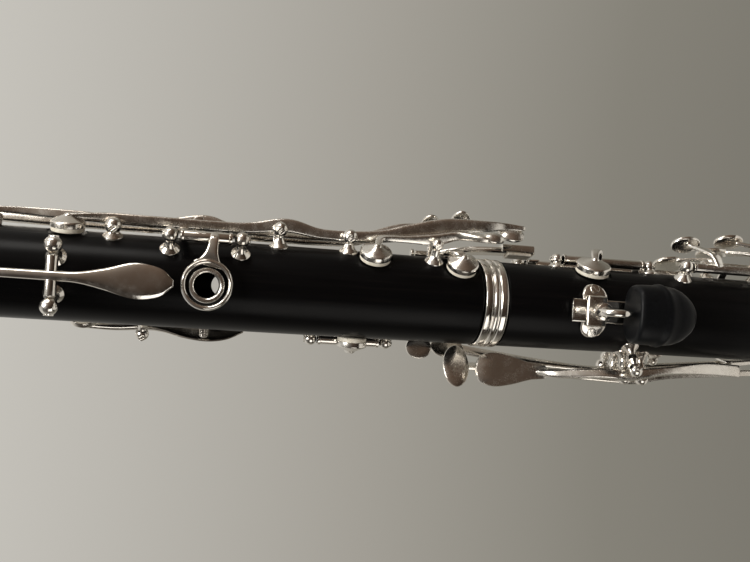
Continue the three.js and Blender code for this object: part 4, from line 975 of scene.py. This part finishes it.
def make_little_finger_keys():
    """The right little finger's four keys, three of which the left levers also turn."""
    key("f_sharp_key", all_of(
        collars(F_SHARP_LINE, 190.8, 243.7), touch_plate(130, 22.2, 256, 6.2, 4.4), cup_solid("f_sharp"),
        bar([P(F_SHARP_LINE, 19.2, 242.5), P(112, 21.3, 245), P(125, 21.9, 254)], [3, 4, 5], [2.4, 1.5, 1.4]),
        apex_lug("f_sharp"), arm_over(F_SHARP_LINE, 197, "f_sharp"), link_arm(F_SHARP_LINE, 237, 278)),
        "f_sharp", pad="f_sharp")
    key("e_key", all_of(
        collars(E_LINE, 132.8, 229.1), touch_plate(118, 24, 241.6, 6, 4.6), cup_solid("e"), apex_lug("e"),
        bar([P(E_LINE, 19.4, 226.5), P(96, 22.7, 230), P(112, 23.7, 237)], [3, 4, 5], [2.4, 1.8, 1.4]),
        arm_over(E_LINE, 138, "e"), link_arm(E_LINE, 223, 238)), "e", pad="e")
    key("a_flat_key", all_of(
        collars(F_LINE, 219.9, 259.7), touch_plate(98, 25.4, 256.4, 5.4, 4, 130), cup_solid("a_flat"),
        apex_lug("a_flat"),
        bar([P(F_LINE, 19.4, 250), P(76, 22.4, 251), P(97, 25.2, 254.5)], [3, 4, 5], [2.4, 1.8, 1.4]),
        bar([P(F_LINE, HINGE_R + 0.2, 226), P(56, 20.6, 226), apex("a_flat")], [3.2, 3, 2.4],
            [2.6, 1.7, 1.5])),
        pad="a_flat")
    key("f_key", all_of(
        collars(F_LINE, 162.3, 215.3), touch_plate(95, 26, 241.4, 5.4, 4, 130), cup_solid("f"), apex_lug("f"),
        link_arm(F_LINE, 210, 257),
        bar([P(F_LINE, 19.4, 212), P(72, 22.8, 217), P(82, 24.8, 229), P(94, 25.9, 238.5)], [3, 3.6, 3.6, 5],
            [2.4, 1.8, 1.8, 1.4]),
        bar([P(F_LINE, HINGE_R + 0.4, 168), P(76, 21.4, 168), P(94, 21.4, 168), P(124, 20.6, 168), apex("f")],
            [3.2, 3, 3, 3, 2.4], [2.6, 1.6, 1.6, 1.6, 1.5])), "f", pad="f")


TEARDROP = [(11, 0), (9.6, 4.2), (5, 5.7), (-1, 4.9), (-8, 3), (-14, 1.9), (-14, -1.9), (-8, -3), (-1, -4.9),
            (5, -5.7), (9.6, -4.2)]


def make_levers():
    """The left little finger's levers, which rock on screws between tall posts."""
    for name, (a, z, at, bend, across, half, end) in LEVERS.items():
        teardrop = name == "lh_f_sharp"
        behind = Vector(at) + Vector((0, 0.4, -11.5) if teardrop else (0, 1.6, -half[0] * 0.3))
        tail = [P(a, 20.6, z - 14), P(a - 6, 18.4, end + 14), P(a - 14, 18.2, end)]
        flat = 4.2 if teardrop else 2
        arm = bar([behind, bend, P(a, LEVER_R, z + 10), P(a, LEVER_R, z), *tail],
                  [3.4, 3.6, 2.6, 2.8, 2.6, 2, 2.2],
                  [1.6, 2.8, 3.2, 3.6, 2.6, flat, flat], None, 10, 0.2)
        outline = TEARDROP if teardrop else oval(*half)
        leaf = pebble(at, (0, 0, 1), across, outline, 1.2, 0.35)
        key(f"{name}_lever", all_of(arm, leaf, cross_solid(a, LEVER_R, z, 1.2)), material="worn")


# ---------------------------------------------------------------- bell, barrel, mouthpiece
def make_bell_and_barrel():
    outside = [(38.6, 0), (39.2, 0.5), (39.3, 4.9), (37.6, 7.2), (35.6, 11), (33, 16), (30.4, 21.5),
               (27.8, 28.5), (25.5, 37), (23.1, 47), (21.1, 58), (19.4, 68), (18.1, 78.5), (17, 88),
               (16.5, 96.5), (15.3, 96.5), (15.3, BELL_TOP - GAP)]
    inside = [(36.4, 0), (35, 4), (32.4, 9.5), (29, 15.5), (25.8, 22.5), (23, 29.5), (20.4, 38), (18, 47.5),
              (15.9, 58), (14.1, 67), (12.6, 76), (10.2, BELL_TOP - TENON), (11.9, BELL_TOP - TENON),
              (11.9, BELL_TOP - GAP)]
    piece("bell", shell(outside, inside, 192, 0.3), "body", "wood", ["bell"])
    rim = [(39.25, 1), (39.65, 1.1), (39.9, 1.8), (39.9, 3.6), (39.65, 4.3), (39.25, 4.4)]
    piece("bell_rim_ring", shell(rim, [(39.0, 1), (39.0, 4.4)], 192, 0.1), "body", "silver",
          ["bell_rim_ring"])

    def band(name, body, low, high, r):
        mid = (low + high) / 2
        profile = [(r - 0.5, low), (r - 0.1, low + 0.2), (r, low + 0.9), (r - 0.05, mid - 0.9),
                   (r - 0.3, mid - 0.7),
                   (r + 0.1, mid), (r - 0.3, mid + 0.7), (r - 0.05, mid + 0.9), (r, high - 0.9),
                   (r - 0.1, high - 0.2),
                   (r - 0.5, high)]
        piece(name, shell(profile, [(15.3, low), (15.3, high)], 160, 0.1), body, "silver", [name])

    band("bell_socket_ring", "body", 96.9, 104.6, 16.7)
    band("barrel_lower_ring", "barrel_body", 528.5, 535.6, 16.6)
    band("barrel_upper_ring", "barrel_body", 585.4, 592.4, 16.3)
    swell = [(15.1, UPPER_TOP + GAP), (15.1, 536), (16.7, 536), (17.1, 542), (17.45, 550), (17.5, 557),
             (17.3, 566), (16.9, 575), (16.3, 585), (14.9, 585), (14.9, BARREL_TOP - GAP)]
    sockets = [(12.1, UPPER_TOP + GAP), (12.1, UPPER_TOP + TENON + 1), (BORE_R, UPPER_TOP + TENON + 1),
               (BORE_R, BARREL_TOP - TENON), (12, BARREL_TOP - TENON), (12, BARREL_TOP - GAP)]
    piece("barrel", shell(swell, sockets, 160, 0.3), "barrel_body", "wood", ["barrel"])


def wedge(points, x):
    """A closed outline in Y and Z, pushed out along X both ways."""
    n = len(points)
    verts = [Vector((s * x, y, z)) for s in (-1, 1) for y, z in points]
    faces = [tuple(range(n)), tuple(reversed(range(n, 2 * n)))]
    faces += [(k, (k + 1) % n, (k + 1) % n + n, k + n) for k in range(n)]
    return Solid(verts, faces)


def make_mouthpiece():
    low = BARREL_TOP - TENON + 1
    blank = lathe([(0, low), (11.4, low), (11.4, BARREL_TOP), (13.6, BARREL_TOP), (13.9, BARREL_TOP + 0.4),
                   (13.9, 596.6),
                   (13.5, 597.4), (13.3, 600), (13.1, 618), (12.9, 640), (12.2, TIP), (0, TIP)], 160, 0.3)
    slope = [(14.5, 628), (11.5, 634.5), (2.2, 650), (-7.6, TIP + 0.2), (20, TIP + 5), (24, 628)]
    piece("mouthpiece", blank, "barrel_body", "ebonite", ["mouthpiece"], cutters=[
        wedge([(-9.2, 600.5), (-30, 600.5), (-30, TIP + 1), (-9.2, TIP + 1)], 20), wedge(slope, 20),
        lathe([(0, 570), (BORE_R, 570), (BORE_R, 634), (0, 634)], 96, 0),
        wedge([(-14, 632), (-14, 662), (-8.4, 662), (-5, 655), (3, 640), (6, 632)], 5)])
    reed = wedge([(-9.5, 602), (-11.8, 602), (-12.0, 604), (-11.8, 631), (-11.0, 640), (-10.2, 652),
                  (-9.75, 666.4), (-9.5, 666.4)], 6)
    for p in reed.points:
        p.x *= 0.86 + 0.14 * (p.z - 602) / 64.4
    piece("reed", reed, "barrel_body", "cane", ["reed"], 30)


LIGATURE_SCREWS = {"lower": 612, "upper": 624}  # heights of the two screws


def make_ligature():
    """The metal band with its vents and lugs, and the two knurled screws that close it."""
    z0, z1 = 607, 629
    heights = LIGATURE_SCREWS.values()
    bands = [(13.65, z0), (14.2, z0 + 0.1), (14.45, z0 + 0.6), (14.2, z0 + 1.3), (14.2, z1 - 1.3),
             (14.45, z1 - 0.6),
             (14.2, z1 - 0.1), (13.65, z1)]
    lugs = [block((s * 2.3 - 0.9, -18.6, z - 2.4), (s * 2.3 + 0.9, -13.2, z + 2.4))
            for z in heights for s in (-1, 1)]
    gap = block((-1.4, -20, 600), (1.4, -12.5, 640), 0.05)
    vents = all_of([rod((6 * s, 0, z), (20 * s, -6, z), 1.6, 28, 0)
                    for s in (-1, 1) for z in (613, 618, 623)])
    piece("ligature_band", shell(bands, [(13.6, z0), (13.6, z1)], 160, 0.1), "barrel_body", "silver",
          ["ligature"], cutters=[gap, vents])
    piece("ligature_lugs", all_of(lugs), "barrel_body", "silver",
          cutters=[all_of([rod((-9, -16.8, z), (9, -16.8, z), 1.45, 32, 0) for z in heights])])
    for name, z in LIGATURE_SCREWS.items():
        profile = [(0, -4.4), (2, -4.4), (2, -3.6), (1.15, -3.5), (1.15, 3.5), (2.1, 3.6), (2.3, 4.6),
                   (3.3, 5.4), (3.35, 8.4), (2.7, 9), (0, 9)]
        grips = [rod((5.6, -16.8 + 3.3 * math.cos(t), z + 3.3 * math.sin(t)),
                     (8.3, -16.8 + 3.3 * math.cos(t), z + 3.3 * math.sin(t)), 0.22, 8, 0) for t in circle(24)]
        piece(f"ligature_screw_{name}", all_of(turned((0, -16.8, z), (1, 0, 0), profile, 48, 0.15), grips),
              f"ligature_screw_{name}_body", "silver", [f"ligature_screw_{name}"])


# ---------------------------------------------------------------- camera, light and floor
# Degrees the camera looks down and leans, its distance, the height it aims at, and its shift up the picture.
TILT, ROLL, DISTANCE, AIM_Z, AIM_DROP = 12, 4, 291, 367.6, 4.77


def make_camera():
    tilt, roll = math.radians(TILT), math.radians(ROLL)
    forward = Vector((0, math.cos(tilt), -math.sin(tilt)))
    along, across = Vector((0, -math.sin(tilt), -math.cos(tilt))), Vector((1, 0, 0))
    right = along * math.cos(roll) + across * math.sin(roll)
    up = across * math.cos(roll) - along * math.sin(roll)
    place = Vector((0, 0, AIM_Z)) + up * AIM_DROP - forward * DISTANCE
    camera = new_object("camera", bpy.data.cameras.new("camera"))
    camera.data.sensor_width = 36
    camera.data.lens = 43.2
    camera.data.clip_start = 0.01
    basis = Matrix((right, up, -forward)).transposed()
    camera.matrix_world = Matrix.Translation(place * MM) @ basis.to_4x4()
    bpy.context.scene.camera = camera


def area(name, place, aim, size, power, colour):
    light = new_object(name, bpy.data.lights.new(name, "AREA"))
    light.data.shape = "RECTANGLE"
    light.data.size, light.data.size_y = size
    light.data.energy = power
    light.data.color = colour
    direction = Vector(aim) - Vector(place)
    light.matrix_world = Matrix.Translation(place) @ direction.to_track_quat("-Z", "Y").to_matrix().to_4x4()


def make_world():
    """A grey room, lighter above. On the thumb side it is warm and dim, most of all to the left."""
    world = bpy.data.worlds.new("room")
    bpy.context.scene.world = world
    world.use_nodes = True
    tree = world.node_tree
    ground = tree.nodes["Background"]
    direction = tree.nodes.new("ShaderNodeTexCoord").outputs["Generated"]
    split = tree.nodes.new("ShaderNodeSeparateXYZ")
    tree.links.new(direction, split.inputs["Vector"])
    height = span(tree, split.outputs["Z"], 0, 1, -1, 1)
    wall = ramp(tree, height, ((0.16, (0.17, 0.16, 0.135)), (0.28, (0.235, 0.222, 0.188)),
                               (0.4, (0.36, 0.34, 0.3)),
                               (0.6, (0.56, 0.54, 0.495)), (0.85, (0.7, 0.68, 0.64))))
    behind = ramp(tree, height, ((0.2, (0.05, 0.035, 0.025)), (0.5, (0.14, 0.1, 0.075)),
                                 (0.75, (0.42, 0.38, 0.34)),
                                 (0.95, (0.8, 0.78, 0.74))))
    shade = tree.nodes.new("ShaderNodeVectorMath")
    shade.operation = "SCALE"
    tree.links.new(behind, shade.inputs[0])
    tree.links.new(span(tree, split.outputs["X"], 0.2, 1.3, -0.45, 0.7), shade.inputs["Scale"])
    mix = tree.nodes.new("ShaderNodeMix")
    mix.data_type = "RGBA"
    tree.links.new(span(tree, split.outputs["Y"], 0, 1, -0.15, 0.35), mix.inputs["Factor"])
    # A mix node has sockets named A and B for each type of data, so the colour ones go by number.
    tree.links.new(shade.outputs["Vector"], mix.inputs[6])
    tree.links.new(wall, mix.inputs[7])
    tree.links.new(mix.outputs[2], ground.inputs["Color"])
    ground.inputs["Strength"].default_value = 1.0


def make_floor():
    mesh = bpy.data.meshes.new("floor")
    sides, radius = 96, 0.3
    ring = [(radius * math.cos(t), radius * math.sin(t)) for t in circle(sides)]
    points = [(x, y, z) for z in (0, -0.006) for x, y in ring]
    faces = [tuple(range(sides)), tuple(reversed(range(sides, 2 * sides)))]
    faces += [(k, k + sides, (k + 1) % sides + sides, (k + 1) % sides) for k in range(sides)]
    mesh.from_pydata(points, [], faces)
    floor = new_object("floor", mesh)
    floor_material = plain("pale_floor", (0.58, 0.57, 0.55), (0.64, 0.63, 0.61), 40, (0.6, 0.75))
    mesh.materials.append(floor_material)


make_camera()
make_world()
make_floor()
area("window", (0.15, -0.55, 1.25), (0, 0, 0.4), (0.5, 0.35), 9, (1, 0.98, 0.94))
area("strip", (0.75, -0.25, 0.75), (0, 0, 0.38), (0.25, 0.6), 3, (1, 0.97, 0.92))
area("fill", (-0.6, -0.5, 0.2), (0, 0, 0.35), (0.5, 0.5), 1.5, (1, 0.96, 0.9))
bpy.context.scene.view_settings.view_transform = "Standard"

make_wood()
make_posts()
make_fittings()
make_thumb_rest()
make_register_key()
make_thumb_ring_key()
make_throat_keys()
make_ring_keys()
make_cross_keys()
make_side_keys()
make_lower_hand_keys()
make_little_finger_keys()
make_levers()
make_bell_and_barrel()
make_mouthpiece()
make_ligature()
